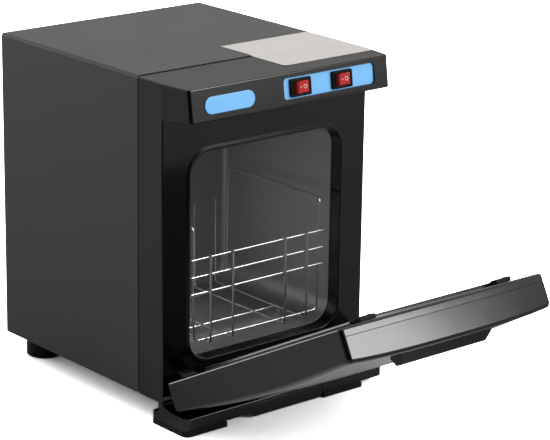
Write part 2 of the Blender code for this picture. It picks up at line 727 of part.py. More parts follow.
def build_frame(origin, face):
    edge = HEADER_EDGE
    side = outline([(0, 0, 0), (-STRIP_DEPTH, 0, edge), (-STRIP_DEPTH, HEADER_ROOT_Z, 0),
                    (-HEADER_FOOT_REACH, HEADER_FOOT_Z, edge), (-HEADER_TOP_REACH, HEADER_TOP_Z, edge),
                    (0, CASE_HEIGHT, 0)])
    mesh = prism([side], "X", -CASE_HALF - OVERRUN, CASE_HALF + OVERRUN)
    frame = add_part("front_frame", mesh, origin, BLACK_GLOSS)
    front = CASE_HALF - HEADER_TAPER
    plan = outline([(-CASE_HALF, OVERRUN, 0), (-CASE_HALF, -STRIP_DEPTH, 0),
                    (-front, -HEADER_FOOT_REACH, HEADER_CORNER), (front, -HEADER_FOOT_REACH, HEADER_CORNER),
                    (CASE_HALF, -STRIP_DEPTH, 0), (CASE_HALF, OVERRUN, 0)])
    combine(frame, prism([plan], "Z", -OVERRUN, CASE_HEIGHT + OVERRUN), "INTERSECT")
    back = -STRIP_DEPTH + WALL
    pocket = outline([(OVERRUN, WALL, 0), (back, WALL, 0), (back, HEADER_ROOT_Z + WALL, 0),
                      (-HEADER_FOOT_REACH + FRONT_WALL, HEADER_FOOT_Z + WALL, 0),
                      (-HEADER_TOP_REACH + FRONT_WALL, HEADER_TOP_Z - WALL, 0),
                      (OVERRUN, CASE_HEIGHT - WALL, 0)])
    combine(frame, prism([pocket], "X", -FRAME_POCKET_HALF, FRAME_POCKET_HALF), "DIFFERENCE")

    lap = LIP_LAP
    hole = rectangle(-MOUTH_HALF - lap, MOUTH_HALF + lap, MOUTH_LOW - lap, MOUTH_HIGH + lap,
                     MOUTH_CORNER + lap)
    combine(frame, prism([hole], "Y", -STRIP_DEPTH - OVERRUN, back + OVERRUN), "DIFFERENCE")
    outer = rectangle(-MOUTH_HALF - LIP_SIDE, MOUTH_HALF + LIP_SIDE, MOUTH_LOW - LIP_RISE,
                      MOUTH_HIGH + LIP_RISE, MOUTH_CORNER + LIP_SIDE)
    inner = rectangle(-MOUTH_HALF, MOUTH_HALF, MOUTH_LOW, MOUTH_HIGH, MOUTH_CORNER)
    ring = prism([outer, inner], "Y", -STRIP_DEPTH - LIP_PROUD, REVEAL_Y)
    combine(frame, ring, "UNION")

    half = PLATE_WIDTH / 2 + CLEARANCE
    rise = PLATE_HEIGHT / 2 + CLEARANCE
    recess = rectangle(PLATE_CENTRE_X - half, PLATE_CENTRE_X + half, PLATE_CENTRE_V - rise,
                       PLATE_CENTRE_V + rise, PLATE_CORNER)
    helper = combine(frame, prism([recess], "Z", -RECESS, OVERRUN), "DIFFERENCE")
    helper.parent = face
    holes = [switch_hole(middle, -FRONT_WALL - OVERRUN, OVERRUN) for middle in (UV_SWITCH_X, POWER_SWITCH_X)]
    helper = combine(frame, gather(holes), "DIFFERENCE")
    helper.parent = face


def switch_hole(middle, low, high):
    half = SWITCH_WIDTH / 2 + CLEARANCE
    rise = SWITCH_HEIGHT / 2 + CLEARANCE
    return box((middle - half, PLATE_CENTRE_V - rise, low), (middle + half, PLATE_CENTRE_V + rise, high))


def build_panel(face):
    shape = rectangle(PLATE_CENTRE_X - PLATE_WIDTH / 2, PLATE_CENTRE_X + PLATE_WIDTH / 2,
                      PLATE_CENTRE_V - PLATE_HEIGHT / 2, PLATE_CENTRE_V + PLATE_HEIGHT / 2, PLATE_CORNER)
    low = -RECESS + CLEARANCE
    plate = add_part("control_plate", prism([shape], "Z", low, low + PLATE_SHEET), face,
                     ((0.27, 0.57, 0.83), 0, 0.35))
    holes = [switch_hole(middle, -RECESS - OVERRUN, OVERRUN) for middle in (UV_SWITCH_X, POWER_SWITCH_X)]
    combine(plate, gather(holes), "DIFFERENCE")

    shape = rectangle(PILL_CENTRE_X - PILL_WIDTH / 2, PILL_CENTRE_X + PILL_WIDTH / 2,
                      PILL_CENTRE_V - PILL_HEIGHT / 2, PILL_CENTRE_V + PILL_HEIGHT / 2,
                      PILL_HEIGHT * PILL_END_SHARE)
    mesh = prism([shape], "Z", CLEARANCE, CLEARANCE + PILL_SHEET)
    bevel_edges(mesh, 2, CLEARANCE + PILL_SHEET, PILL_EDGE)
    add_part("pill_label", mesh, face, ((0.27, 0.57, 0.83), 0, 0.3))


def build_switch(face, middle, prefix):
    """Switch housing with its bezel, and the red rocker on its pivot."""
    level = PLATE_CENTRE_V
    bezel = rectangle(middle - BEZEL_WIDTH / 2, middle + BEZEL_WIDTH / 2, level - BEZEL_HEIGHT / 2,
                      level + BEZEL_HEIGHT / 2, BEZEL_CORNER)
    mesh = prism([bezel], "Z", SWITCH_TOP, BEZEL_PROUD)
    housing = add_part(prefix + "_switch_body", mesh, face, BLACK_GLOSS)
    body = box((middle - SWITCH_WIDTH / 2, level - SWITCH_HEIGHT / 2, -SWITCH_DEPTH),
               (middle + SWITCH_WIDTH / 2, level + SWITCH_HEIGHT / 2, (SWITCH_TOP + BEZEL_PROUD) / 2))
    combine(housing, body, "UNION")
    well = box((middle - SWITCH_WELL_WIDTH / 2, level - SWITCH_WELL_HEIGHT / 2, -SWITCH_WELL_DEPTH),
               (middle + SWITCH_WELL_WIDTH / 2, level + SWITCH_WELL_HEIGHT / 2, OVERRUN))
    combine(housing, well, "DIFFERENCE")
    reach = SWITCH_HEIGHT / 2 + OVERRUN
    pivot = rod((middle, level - reach, -ROCKER_PIVOT_DEPTH), (middle, level + reach, -ROCKER_PIVOT_DEPTH),
                ROCKER_PIN + CLEARANCE)
    combine(housing, pivot, "DIFFERENCE")
    tabs = []
    for side in (-1, 1):
        place = middle + side * TERMINAL_SPREAD
        tabs.append(box((place - TERMINAL_WIDTH / 2, level - SHEET / 2, -SWITCH_DEPTH - TERMINAL_LENGTH),
                        (place + TERMINAL_WIDTH / 2, level + SHEET / 2, -SWITCH_DEPTH + SHEET)))
    combine(housing, gather(tabs), "UNION")

    axis = add_axis(prefix + "_rocker_axis", face, (middle, level, -ROCKER_PIVOT_DEPTH))
    axis.rotation_euler = (0, ROCKER_TILT, 0)
    right = []
    for step in range(ARC_STEPS + 1):
        angle = ROCKER_HEEL + (ROCKER_TIP - ROCKER_HEEL) * step / ARC_STEPS
        right.append((ROCKER_RADIUS * math.cos(angle), ROCKER_RADIUS * math.sin(angle), 0))
    left = [(-a, b, 0) for a, b, zero in reversed(right)]
    shape = [(b, a, 0) for a, b, zero in right + [(0, ROCKER_VALLEY, 0)] + left]
    mesh = prism([shape], "Y", -ROCKER_HEIGHT / 2, ROCKER_HEIGHT / 2)
    mesh.transform(Matrix.Rotation(math.pi / 2, 4, "Y"))
    rocker = add_part(prefix + "_rocker", mesh, axis, ((0.55, 0.02, 0.015), 0, 0.2))
    pin = rod((0, -ROCKER_PIN_SPAN / 2, 0), (0, ROCKER_PIN_SPAN / 2, 0), ROCKER_PIN)
    combine(rocker, pin, "UNION")


def build_sticker(origin):
    slope = HEADER_TOP_DROP / HEADER_TOP_REACH
    gap = CLEARANCE + STICKER_SHEET
    places = [(STICKER_BACK, CASE_HEIGHT + gap), (0, CASE_HEIGHT + gap),
              (-STICKER_FRONT, CASE_HEIGHT - slope * STICKER_FRONT + gap)]
    rows = [[(STICKER_LEFT, y, z), (STICKER_RIGHT, y, z)] for y, z in places]
    shape, grid = skin(rows, False)
    sticker = add_part("top_sticker", mesh_from(shape), origin, ((0.8, 0.8, 0.79), 0, 0.4))
    solidify(sticker, STICKER_SHEET, 1)


def build_base(origin):
    roof = -CLEARANCE
    side = outline([(-BASE_BACK, roof, 0), (-STRIP_DEPTH, roof, 0), (-STRIP_DEPTH, -BASE_LEDGE, 0),
                    (-BASE_TROUGH_START, -BASE_TROUGH, FOOT_DROP), (-BASE_FRONT, -BASE_LIP, PAN_CORNER),
                    (-BASE_FRONT, -BASE_DEPTH, 0), (-BASE_TAIL, -BASE_DEPTH, 0),
                    (-BASE_TAIL, -BASE_TAIL_TOP, 0), (-BASE_BACK, -BASE_TAIL_TOP, 0)])
    mesh = prism([side], "X", -BASE_HALF - OVERRUN, BASE_HALF + OVERRUN)
    base = add_part("front_base", mesh, origin, BLACK_GLOSS)
    plan = outline([(-BASE_HALF, 0, 0), (-BASE_HALF, -BASE_FRONT, BASE_CORNER),
                    (BASE_HALF, -BASE_FRONT, BASE_CORNER), (BASE_HALF, 0, 0)])
    combine(base, prism([plan], "Z", -BASE_DEPTH - OVERRUN, OVERRUN), "INTERSECT")
    half = TRAY_FRONT_HALF + CLEARANCE
    slot = box((-half, -BASE_FRONT - OVERRUN, -BASE_DEPTH - OVERRUN),
               (half, OVERRUN, -TRAY_FRONT_TOP + CLEARANCE))
    combine(base, slot, "DIFFERENCE")
    hollows = []
    for side in (-1, 1):
        ends = sorted((side * BASE_HOLLOW_IN, side * (BASE_HALF - BASE_CORNER)))
        hollows.append(box((ends[0], -BASE_FRONT + FRONT_WALL, -BASE_DEPTH - OVERRUN),
                           (ends[1], -STRIP_DEPTH, -BASE_HOLLOW_ROOF)))
    combine(base, gather(hollows), "DIFFERENCE")

    low = -FOOT_DROP
    high = -BASE_DEPTH - CLEARANCE
    front = -BASE_FRONT - FOOT_PROUD
    left = -BASE_HALF - FOOT_PROUD / 2
    shape = outline([(left, -BASE_TAIL, 0), (left, front, FOOT_CORNER),
                     (left + FOOT_LENGTH, front, 0), (left + FOOT_LENGTH, -BASE_TAIL, 0)])
    mesh = prism([shape], "Z", low, high)
    add_part("front_foot_left", mesh, origin, BLACK_RUBBER)
    start = RIGHT_FOOT_START
    end = start + FOOT_LENGTH
    shape = outline([(start, -BASE_TAIL, 0), (start, front, FOOT_EDGE), (end, front, FOOT_EDGE),
                     (end, -BASE_TAIL, 0)])
    mesh = prism([shape], "Z", low, high)
    add_part("front_foot_right", mesh, origin, BLACK_RUBBER)

    edge = REAR_FOOT_EDGE
    profile = [(0, -CLEARANCE), (REAR_FOOT_NECK, -CLEARANCE), (REAR_FOOT_RADIUS, -FOOT_DROP / 2),
               (REAR_FOOT_RADIUS, -FOOT_DROP + edge), (REAR_FOOT_RADIUS - edge, -FOOT_DROP), (0, -FOOT_DROP)]
    for side, word in ((-1, "left"), (1, "right")):
        turned("rear_foot_" + word, profile, False, origin, BLACK_RUBBER,
               (side * REAR_FOOT_X, REAR_FOOT_Y, 0))


def build_tray(origin):
    front = -BASE_FRONT
    foot = -TRAY_FRONT_FOOT
    top = -TRAY_FRONT_TOP
    half = TRAY_FRONT_HALF
    cut = TRAY_CHAMFER
    slide = add_axis("drip_tray_axis", origin, (0, front, top))
    shape = outline([(-half, top, 0), (-half, foot + cut, 0), (-half + cut, foot, 0),
                     (half - cut, foot, 0), (half, foot + cut, 0), (half, top, 0)])
    mesh = prism([shape], "Y", front, front + TRAY_FRONT_SHEET)
    shift = Matrix.Translation(-slide.location)
    mesh.transform(shift)
    tray = add_part("drip_tray", mesh, slide, BLACK_GLOSS)
    lap = front + TRAY_FRONT_SHEET / 2
    pan = box((-TRAY_HALF, lap, -TRAY_FLOOR), (TRAY_HALF, TRAY_BACK, top))
    flange = box((-TRAY_FLANGE_HALF, lap, top - TRAY_FLANGE_SHEET),
                 (TRAY_FLANGE_HALF, TRAY_BACK - TRAY_WALL, top))
    wall = TRAY_WALL
    hollow = box((-TRAY_HALF + wall, front + TRAY_FRONT_SHEET + wall, -TRAY_FLOOR + wall),
                 (TRAY_HALF - wall, TRAY_BACK - 2 * wall, OVERRUN))
    for solid, operation in ((pan, "UNION"), (flange, "UNION"), (hollow, "DIFFERENCE")):
        solid.transform(shift)
        combine(tray, solid, operation)

    under = top - TRAY_FLANGE_SHEET - CLEARANCE
    inner = TRAY_FLANGE_HALF + CLEARANCE
    outer = inner + SHEET
    roof = -CLEARANCE
    corners = [(inner - RAIL_FOOT_LAP, under - SHEET), (outer, under - SHEET), (outer, roof - SHEET),
               (outer + RAIL_FLANGE, roof - SHEET), (outer + RAIL_FLANGE, roof), (inner, roof),
               (inner, under), (inner - RAIL_FOOT_LAP, under)]
    for side, word in ((-1, "left"), (1, "right")):
        shape = [(side * a, b, 0) for a, b in corners]
        mesh = prism([shape], "Y", -BASE_TAIL + CLEARANCE, RAIL_BACK)
        add_part("tray_rail_" + word, mesh, origin, STEEL)


def build_liner(origin):
    """Deep tub of sheet: mouth flange, straight walls and a rounded back."""
    rows = []
    steps = [(LINER_FRONT, -LINER_FLANGE), (LINER_FRONT, 0), (LINER_BACK - LINER_BACK_CORNER, 0)]
    for step in range(1, ARC_STEPS):
        angle = math.pi / 2 * step / ARC_STEPS
        steps.append((LINER_BACK - LINER_BACK_CORNER * (1 - math.sin(angle)),
                      LINER_BACK_CORNER * (1 - math.cos(angle))))
    steps.append((LINER_BACK, LINER_BACK_CORNER))
    for depth, inset in steps:
        ring = rectangle(-MOUTH_HALF + inset, MOUTH_HALF - inset, MOUTH_LOW + inset, MOUTH_HIGH - inset,
                         MOUTH_CORNER - inset)
        rows.append([(a, depth, b) for a, b, zero in ring])
    shape, grid = skin(rows, True)
    shape.faces.new(grid[-1])
    bmesh.ops.recalc_face_normals(shape, faces=shape.faces)
    liner = add_part("chamber_liner", mesh_from(shape), origin, ALUMINIUM)
    solidify(liner, SHEET, LINER_SIDE)

    inner = LINER_OUTER + CLEARANCE
    roof = MOUTH_HIGH + SHEET + CLEARANCE
    outer = FRAME_POCKET_HALF - CLEARANCE
    bend = MOUTH_CORNER + SHEET
    shape = outline([(-outer, WRAP_LOW, 0), (-outer, WRAP_TOP, 0), (outer, WRAP_TOP, 0), (outer, WRAP_LOW, 0),
                     (inner, WRAP_LOW, 0), (inner, roof, bend), (-inner, roof, bend), (-inner, WRAP_LOW, 0)])
    start = LINER_FRONT + SHEET + CLEARANCE
    mesh = prism([shape], "Y", start, LINER_BACK)
    add_part("insulation_wrap", mesh, origin, WOOL)

    start_back = LINER_BACK + SHEET + CLEARANCE
    mesh = box((-BACK_SLAB_HALF, start_back, MOUTH_LOW + SLAB_MARGIN),
               (BACK_SLAB_HALF, start_back + BACK_SLAB, MOUTH_HIGH - SLAB_MARGIN))
    slab = add_part("insulation_back", mesh, origin, WOOL)
    cut = SENSOR_CUT
    holes = [box((x - cut, start_back - OVERRUN, SENSOR_Z - cut),
                 (x + cut, start_back + BACK_SLAB + OVERRUN, SENSOR_Z + cut)) for x in (-SENSOR_X, SENSOR_X)]
    combine(slab, gather(holes), "DIFFERENCE")

    under = MOUTH_LOW - SHEET - CLEARANCE
    mesh = box((-HEATER_HALF, HEATER_FRONT, under - HEATER_SHEET), (HEATER_HALF, HEATER_BACK, under))
    add_part("heater_plate", mesh, origin, ((0.45, 0.36, 0.22), 0, 0.6))
    under = under - HEATER_SHEET - CLEARANCE
    middle = (HEATER_FRONT + HEATER_BACK) / 2
    mesh = box((-CLAMP_HALF, middle - CLAMP_HALF, under - SHEET), (CLAMP_HALF, middle + CLAMP_HALF, under))
    add_part("heater_clamp", mesh, origin, STEEL)
    mesh = box((-FLOOR_SLAB_HALF, CLEARANCE, SHEET + CLEARANCE),
               (FLOOR_SLAB_HALF, LINER_BACK, under - SHEET - CLEARANCE))
    add_part("insulation_floor", mesh, origin, WOOL)
    return start_back


def build_sensors(origin, wall):
    """Thermostat and thermal fuse against the back of the liner."""
    height = THERMOSTAT_HEIGHT
    cap = THERMOSTAT_CAP_SHEET
    profile = [(0, height), (THERMOSTAT_BODY, height), (THERMOSTAT_BODY, cap), (THERMOSTAT_CAP, cap),
               (THERMOSTAT_CAP, 0), (0, 0)]
    sensor = turned("thermostat", profile, False, origin, ((0.08, 0.07, 0.06), 0, 0.5),
                    (SENSOR_X, wall, SENSOR_Z), -math.pi / 2)
    tab = THERMOSTAT_TAB / 2
    tabs = [box((SENSOR_X + side * THERMOSTAT_TAB_SPREAD - tab, wall + height - SHEET, SENSOR_Z - SHEET / 2),
                (SENSOR_X + side * THERMOSTAT_TAB_SPREAD + tab, wall + height + THERMOSTAT_TAB_HEIGHT,
                 SENSOR_Z + SHEET / 2)) for side in (-1, 1)]
    combine(sensor, gather(tabs), "UNION")

    clip = box((-SENSOR_X - FUSE_CLIP_HALF, wall, SENSOR_Z - FUSE_CLIP_HEIGHT / 2),
               (-SENSOR_X + FUSE_CLIP_HALF, wall + SHEET, SENSOR_Z + FUSE_CLIP_HEIGHT / 2))
    fuse = add_part("thermal_fuse", clip, origin, ((0.6, 0.6, 0.62), 1, 0.35))
    depth = wall + SHEET / 2 + FUSE_RADIUS
    body = rod((-SENSOR_X - FUSE_HALF, depth, SENSOR_Z), (-SENSOR_X + FUSE_HALF, depth, SENSOR_Z),
               FUSE_RADIUS)
    combine(fuse, body, "UNION")


def build_lamp(origin):
    roof = MOUTH_HIGH - CLEARANCE
    level = MOUTH_HIGH - LAMP_DROP
    edge = LAMP_EDGE
    profile = [(0, LAMP_HALF), (LAMP_RADIUS - edge, LAMP_HALF), (LAMP_RADIUS, LAMP_HALF - edge),
               (LAMP_RADIUS, -LAMP_HALF + edge), (LAMP_RADIUS - edge, -LAMP_HALF), (0, -LAMP_HALF)]
    tube = turned("uv_tube", profile, False, origin, ((0.75, 0.78, 0.85), 0, 0.08), (0, LAMP_Y, level))
    tube.rotation_euler = (0, math.pi / 2, 0)
    for side, word in ((-1, "left"), (1, "right")):
        ends = sorted((side * (LAMP_HALF + CLEARANCE), side * (LAMP_HALF + CLEARANCE + HOLDER_SHEET)))
        mesh = box((ends[0], LAMP_Y - HOLDER_HALF_DEPTH, roof - HOLDER_HEIGHT),
                   (ends[1], LAMP_Y + HOLDER_HALF_DEPTH, roof))
        holder = add_part("uv_holder_" + word, mesh, origin, ((0.8, 0.8, 0.78), 0, 0.4))
        bevel(holder, HOLDER_EDGE)
    places = [(LAMP_Y - REFLECTOR_REACH, roof - REFLECTOR_FALL), (LAMP_Y - REFLECTOR_FLAT, roof),
              (LAMP_Y + REFLECTOR_FLAT, roof), (LAMP_Y + REFLECTOR_REACH, roof - REFLECTOR_FALL)]
    rows = [[(x, y, z) for y, z in places] for x in (-REFLECTOR_HALF, REFLECTOR_HALF)]
    shape, grid = skin(rows, False)
    reflector = add_part("uv_reflector", mesh_from(shape), origin, ALUMINIUM)
    solidify(reflector, REFLECTOR_SHEET, REFLECTOR_SIDE)
    paths = []
    for x in GUARD_SPREADS:
        points = [(x, LAMP_Y - GUARD_REACH, roof), (x, LAMP_Y - GUARD_REACH, roof - GUARD_FALL),
                  (x, LAMP_Y + GUARD_REACH, roof - GUARD_FALL), (x, LAMP_Y + GUARD_REACH, roof)]
        paths.append(rounded(points, [0, GUARD_BEND, GUARD_BEND, 0], BEND_STEPS, False))
    guard = add_part("uv_guard", bent_wire(paths, GUARD_RADIUS), origin, STEEL)
    under = roof - GUARD_FALL - GUARD_RADIUS
    tie = rod((GUARD_SPREADS[0] - GUARD_BEND, LAMP_Y, under), (GUARD_SPREADS[-1] + GUARD_BEND, LAMP_Y, under),
              GUARD_RADIUS, RAIL_SIDES)
    combine(guard, tie, "UNION")


def build_electrics(origin, wall):
    floor = SHEET + CLEARANCE
    depth = BALLAST_HALF_DEPTH
    foot = box((BALLAST_X - BALLAST_HALF, BALLAST_Y - depth, floor),
               (BALLAST_X + BALLAST_HALF, BALLAST_Y + depth, floor + BALLAST_FOOT))
    ballast = add_part("ballast", foot, origin, ((0.3, 0.3, 0.31), 1, 0.45))
    core = box((BALLAST_X - BALLAST_CORE_HALF, BALLAST_Y - depth + SHEET, floor + SHEET),
               (BALLAST_X + BALLAST_CORE_HALF, BALLAST_Y + depth - SHEET, floor + BALLAST_HEIGHT))
    combine(ballast, core, "UNION")
    reach = depth - BALLAST_COIL_INSET
    coil = box((BALLAST_X - BALLAST_COIL_HALF, BALLAST_Y - reach, floor + BALLAST_COIL_LOW),
               (BALLAST_X + BALLAST_COIL_HALF, BALLAST_Y + reach, floor + BALLAST_COIL_HIGH))
    combine(ballast, coil, "UNION")

    edge = STARTER_EDGE
    profile = [(0, STARTER_HEIGHT), (STARTER_RADIUS - edge, STARTER_HEIGHT),
               (STARTER_RADIUS, STARTER_HEIGHT - edge),
               (STARTER_RADIUS, STARTER_SOCKET_HEIGHT), (STARTER_SOCKET, STARTER_SOCKET_HEIGHT),
               (STARTER_SOCKET, 0), (0, 0)]
    turned("starter", profile, False, origin, ((0.75, 0.75, 0.72), 0, 0.4), (STARTER_X, STARTER_Y, floor))

    mesh = box((BLOCK_LEFT, BLOCK_FRONT, floor), (BLOCK_RIGHT, BLOCK_BACK, floor + BLOCK_HEIGHT))
    block = add_part("terminal_block", mesh, origin, ((0.78, 0.76, 0.7), 0, 0.45))
    lanes = [UV_SWITCH_X - TERMINAL_SPREAD, UV_SWITCH_X + TERMINAL_SPREAD,
             POWER_SWITCH_X - TERMINAL_SPREAD, POWER_SWITCH_X + TERMINAL_SPREAD]
    sensor_lanes = [SENSOR_X - THERMOSTAT_TAB_SPREAD, SENSOR_X + THERMOSTAT_TAB_SPREAD]
    middle = (BLOCK_FRONT + BLOCK_BACK) / 2
    top = floor + BLOCK_HEIGHT
    wells = [rod((x, middle, top - BLOCK_WELL_DEPTH), (x, middle, top + OVERRUN), BLOCK_WELL)
             for x in lanes + sensor_lanes]
    combine(block, gather(wells), "DIFFERENCE")

    start = BLOCK_FRONT - CLEARANCE
    lean = Matrix.Rotation(-HEADER_LEAN, 3, "X")
    tip = lean @ Vector((0, SWITCH_DEPTH + TERMINAL_LENGTH + CLEARANCE, PLATE_CENTRE_V))
    tip = tip + Vector((0, FACE_Y, FACE_Z))
    paths = []
    for x in lanes:
        points = [(x, start, WIRE_LOW), (x, WIRE_LANE_Y, WIRE_LOW), (x, WIRE_LANE_Y, WIRE_HIGH),
                  (x, -WIRE_FRONT, WIRE_HIGH), (x, -WIRE_FRONT, tip.z), (x, tip.y, tip.z)]
        paths.append(rounded(points, [WIRE_BEND] * len(points), 2, False))
    end = wall + THERMOSTAT_HEIGHT + THERMOSTAT_TAB_HEIGHT + CLEARANCE
    for x in sensor_lanes:
        points = [(x, start, WIRE_LOW), (x, WIRE_LANE_Y, WIRE_LOW), (x, WIRE_LANE_Y, SENSOR_Z),
                  (x, end, SENSOR_Z)]
        paths.append(rounded(points, [WIRE_BEND] * len(points), 2, False))
    wiring = add_part("wiring", bent_wire(paths, WIRE_RADIUS), origin, ((0.5, 0.03, 0.03), 0, 0.5))
    comb = box((lanes[0] - COMB_MARGIN, WIRE_LANE_Y - COMB_HALF, COMB_LEVEL - COMB_HALF),
               (lanes[-1] + COMB_MARGIN, WIRE_LANE_Y + COMB_HALF, COMB_LEVEL + COMB_HALF))
    combine(wiring, comb, "UNION")


def pillow(s, share):
    """Extra thickness of the outer face: it rises from the hinge end and fades at the sides."""
    if s < PILLOW_RAMP:
        part = math.sin(math.pi / 2 * s / PILLOW_RAMP)
        height = PILLOW_HINGE + (PILLOW_MIDDLE - PILLOW_HINGE) * part
    else:
        part = (s - PILLOW_RAMP) / (DOOR_LENGTH - PILLOW_RAMP)
        height = PILLOW_MIDDLE + (PILLOW_FREE - PILLOW_MIDDLE) * part
    return height * (1 - abs(share) ** 3)


def door_outline():
    """Points (s, t) of the outer face between its two ends."""
    return [(s * DOOR_LENGTH, t * DOOR_HINGE_THICKNESS) for s, t in DOOR_OUTLINE_SHARES]


def door_row(x, inset, rim):
    """Section of the outer shell at x, drawn in (s, t) from the hinge end round to the free end."""
    share = x / DOOR_HALF
    first = DOOR_HINGE_THICKNESS + pillow(0, share) - inset
    last = DOOR_FREE_THICKNESS + pillow(DOOR_LENGTH, share) - inset
    corners = [(inset, rim, 0), (inset, first, DOOR_EDGE)]
    corners += [(s, t + pillow(s, share) - inset, 0) for s, t in door_outline()]
    corners += [(DOOR_LENGTH - inset, last, DOOR_EDGE), (DOOR_LENGTH - inset, rim, 0)]
    points = [(s, t, 0) for s, t, radius in corners]
    radii = [radius for s, t, radius in corners]
    path = rounded(points, radii, ARC_STEPS, False)
    return [(x, s - AXIS_S, t - AXIS_T) for s, t, zero in path]


def door_surface(grow, rim, close):
    """Outer skin of the door; grow swells it evenly, close adds the flat face at the rim."""
    stations = []
    straight = DOOR_HALF - DOOR_EDGE
    for share in STATION_SHARES:
        stations.append((share * straight, 0))
    for step in range(ARC_STEPS + 1):
        angle = math.pi / 2 * step / ARC_STEPS
        stations.append((straight + DOOR_EDGE * math.sin(angle), DOOR_EDGE * (1 - math.cos(angle))))
    half = [(x, inset - grow) for x, inset in stations]
    half[-1] = (half[-1][0] + grow, half[-1][1])
    rows = [door_row(-x, inset, rim) for x, inset in reversed(half[1:])]
    rows += [door_row(x, inset, rim) for x, inset in half]
    shape, grid = skin(rows, close)
    for row in (grid[0], grid[-1]):
        shape.faces.new(row)
    bmesh.ops.recalc_face_normals(shape, faces=shape.faces)
    return mesh_from(shape)


def hinge_notches(low_t, high_t):
    cuts = []
    for side in (-1, 1):
        ends = sorted((side * NOTCH_INNER, side * NOTCH_OUTER))
        cuts.append(box((ends[0], -AXIS_S - OVERRUN, low_t - AXIS_T),
                        (ends[1], NOTCH_LENGTH - AXIS_S, high_t - AXIS_T)))
    return gather(cuts)


def door_frame_box(left, right, low_s, high_s, low_t, high_t):
    return box((left, low_s - AXIS_S, low_t - AXIS_T), (right, high_s - AXIS_S, high_t - AXIS_T))


def build_door(axis):
    mesh = door_surface(0, DOOR_SEAM + CLEARANCE, False)
    shell = add_part("door_outer_shell", mesh, axis, BLACK_GLOSS)
    solidify(shell, DOOR_WALL, -1)
    combine(shell, hinge_notches(0, NOTCH_DEPTH), "DIFFERENCE")

    shape = rectangle(-DOOR_HALF, DOOR_HALF, -AXIS_S, DOOR_LENGTH - AXIS_S, DOOR_EDGE)
    mesh = prism([shape], "Z", -AXIS_T, DOOR_SEAM - AXIS_T)
    bevel_edges(mesh, 2, -AXIS_T, DOOR_INNER_EDGE)
    panel = add_part("door_inner_panel", mesh, axis, BLACK_GLOSS)
    shape = rectangle(-RAISED_HALF, RAISED_HALF, RAISED_LOW - AXIS_S, RAISED_HIGH - AXIS_S, RAISED_CORNER)
    mesh = prism([shape], "Z", -RAISED_HEIGHT - AXIS_T, DOOR_SEAM / 2 - AXIS_T)
    combine(panel, mesh, "UNION")
    bosses = []
    for side in (-1, 1):
        for near, far in ((NOTCH_INNER - CLEARANCE - BOSS_SHEET, NOTCH_INNER - CLEARANCE),
                          (NOTCH_OUTER + CLEARANCE, NOTCH_OUTER + CLEARANCE + BOSS_SHEET)):
            ends = sorted((side * near, side * far))
            bosses.append(door_frame_box(ends[0], ends[1], BOSS_START, BOSS_LENGTH, DOOR_SEAM / 2,
                                         BOSS_DEPTH))
    combine(panel, gather(bosses), "UNION")
    combine(panel, hinge_notches(-OVERRUN, NOTCH_DEPTH), "DIFFERENCE")
    reach = PIN_OUTER + CLEARANCE
    bores = [rod((side * (PIN_INNER - CLEARANCE), 0, 0), (side * reach, 0, 0), PIN_RADIUS + CLEARANCE)
             for side in (-1, 1)]
    combine(panel, gather(bores), "DIFFERENCE")

    margin = LINER_PLATE_MARGIN
    shape = rectangle(-RAISED_HALF + margin, RAISED_HALF - margin, RAISED_LOW + margin - AXIS_S,
                      RAISED_HIGH - margin - AXIS_S, RAISED_CORNER)
    high = -RAISED_HEIGHT - CLEARANCE - AXIS_T
    add_part("door_liner_plate", prism([shape], "Z", high - SHEET, high), axis, BLACK_PAINT)

    low = GASKET_LOW - AXIS_S
    inner_low = low + GASKET_OUTER - GASKET_INNER
    high = RAISED_HIGH - AXIS_S
    bend = RAISED_CORNER
    outer = GASKET_OUTER
    inner = GASKET_INNER
    shape = outline([(-outer, high, 0), (-outer, low, bend), (outer, low, bend), (outer, high, 0),
                     (inner, high, 0), (inner, inner_low, bend / 2), (-inner, inner_low, bend / 2),
                     (-inner, high, 0)])
    level = -CLEARANCE - AXIS_T
    mesh = prism([shape], "Z", level - GASKET_HEIGHT, level)
    bevel_edges(mesh, 2, level - GASKET_HEIGHT, GASKET_EDGE)
    add_part("door_gasket", mesh, axis, BLACK_RUBBER)

    start = DOOR_SEAM + CLEARANCE - AXIS_T
    skin_gap = DOOR_WALL + CLEARANCE
    places = door_outline()
    last = DOOR_LENGTH - FILL_MARGIN
    shape = [(FILL_START - AXIS_S, start, 0)]
    shape += [(max(s, FILL_START) - AXIS_S, t - skin_gap - AXIS_T, 0) for s, t in places]
    shape += [(last - AXIS_S, DOOR_FREE_THICKNESS - skin_gap - AXIS_T, 0), (last - AXIS_S, start, 0)]
    half = DOOR_HALF - FILL_MARGIN
    add_part("door_insulation", prism([shape], "X", -half, half), axis, WOOL)


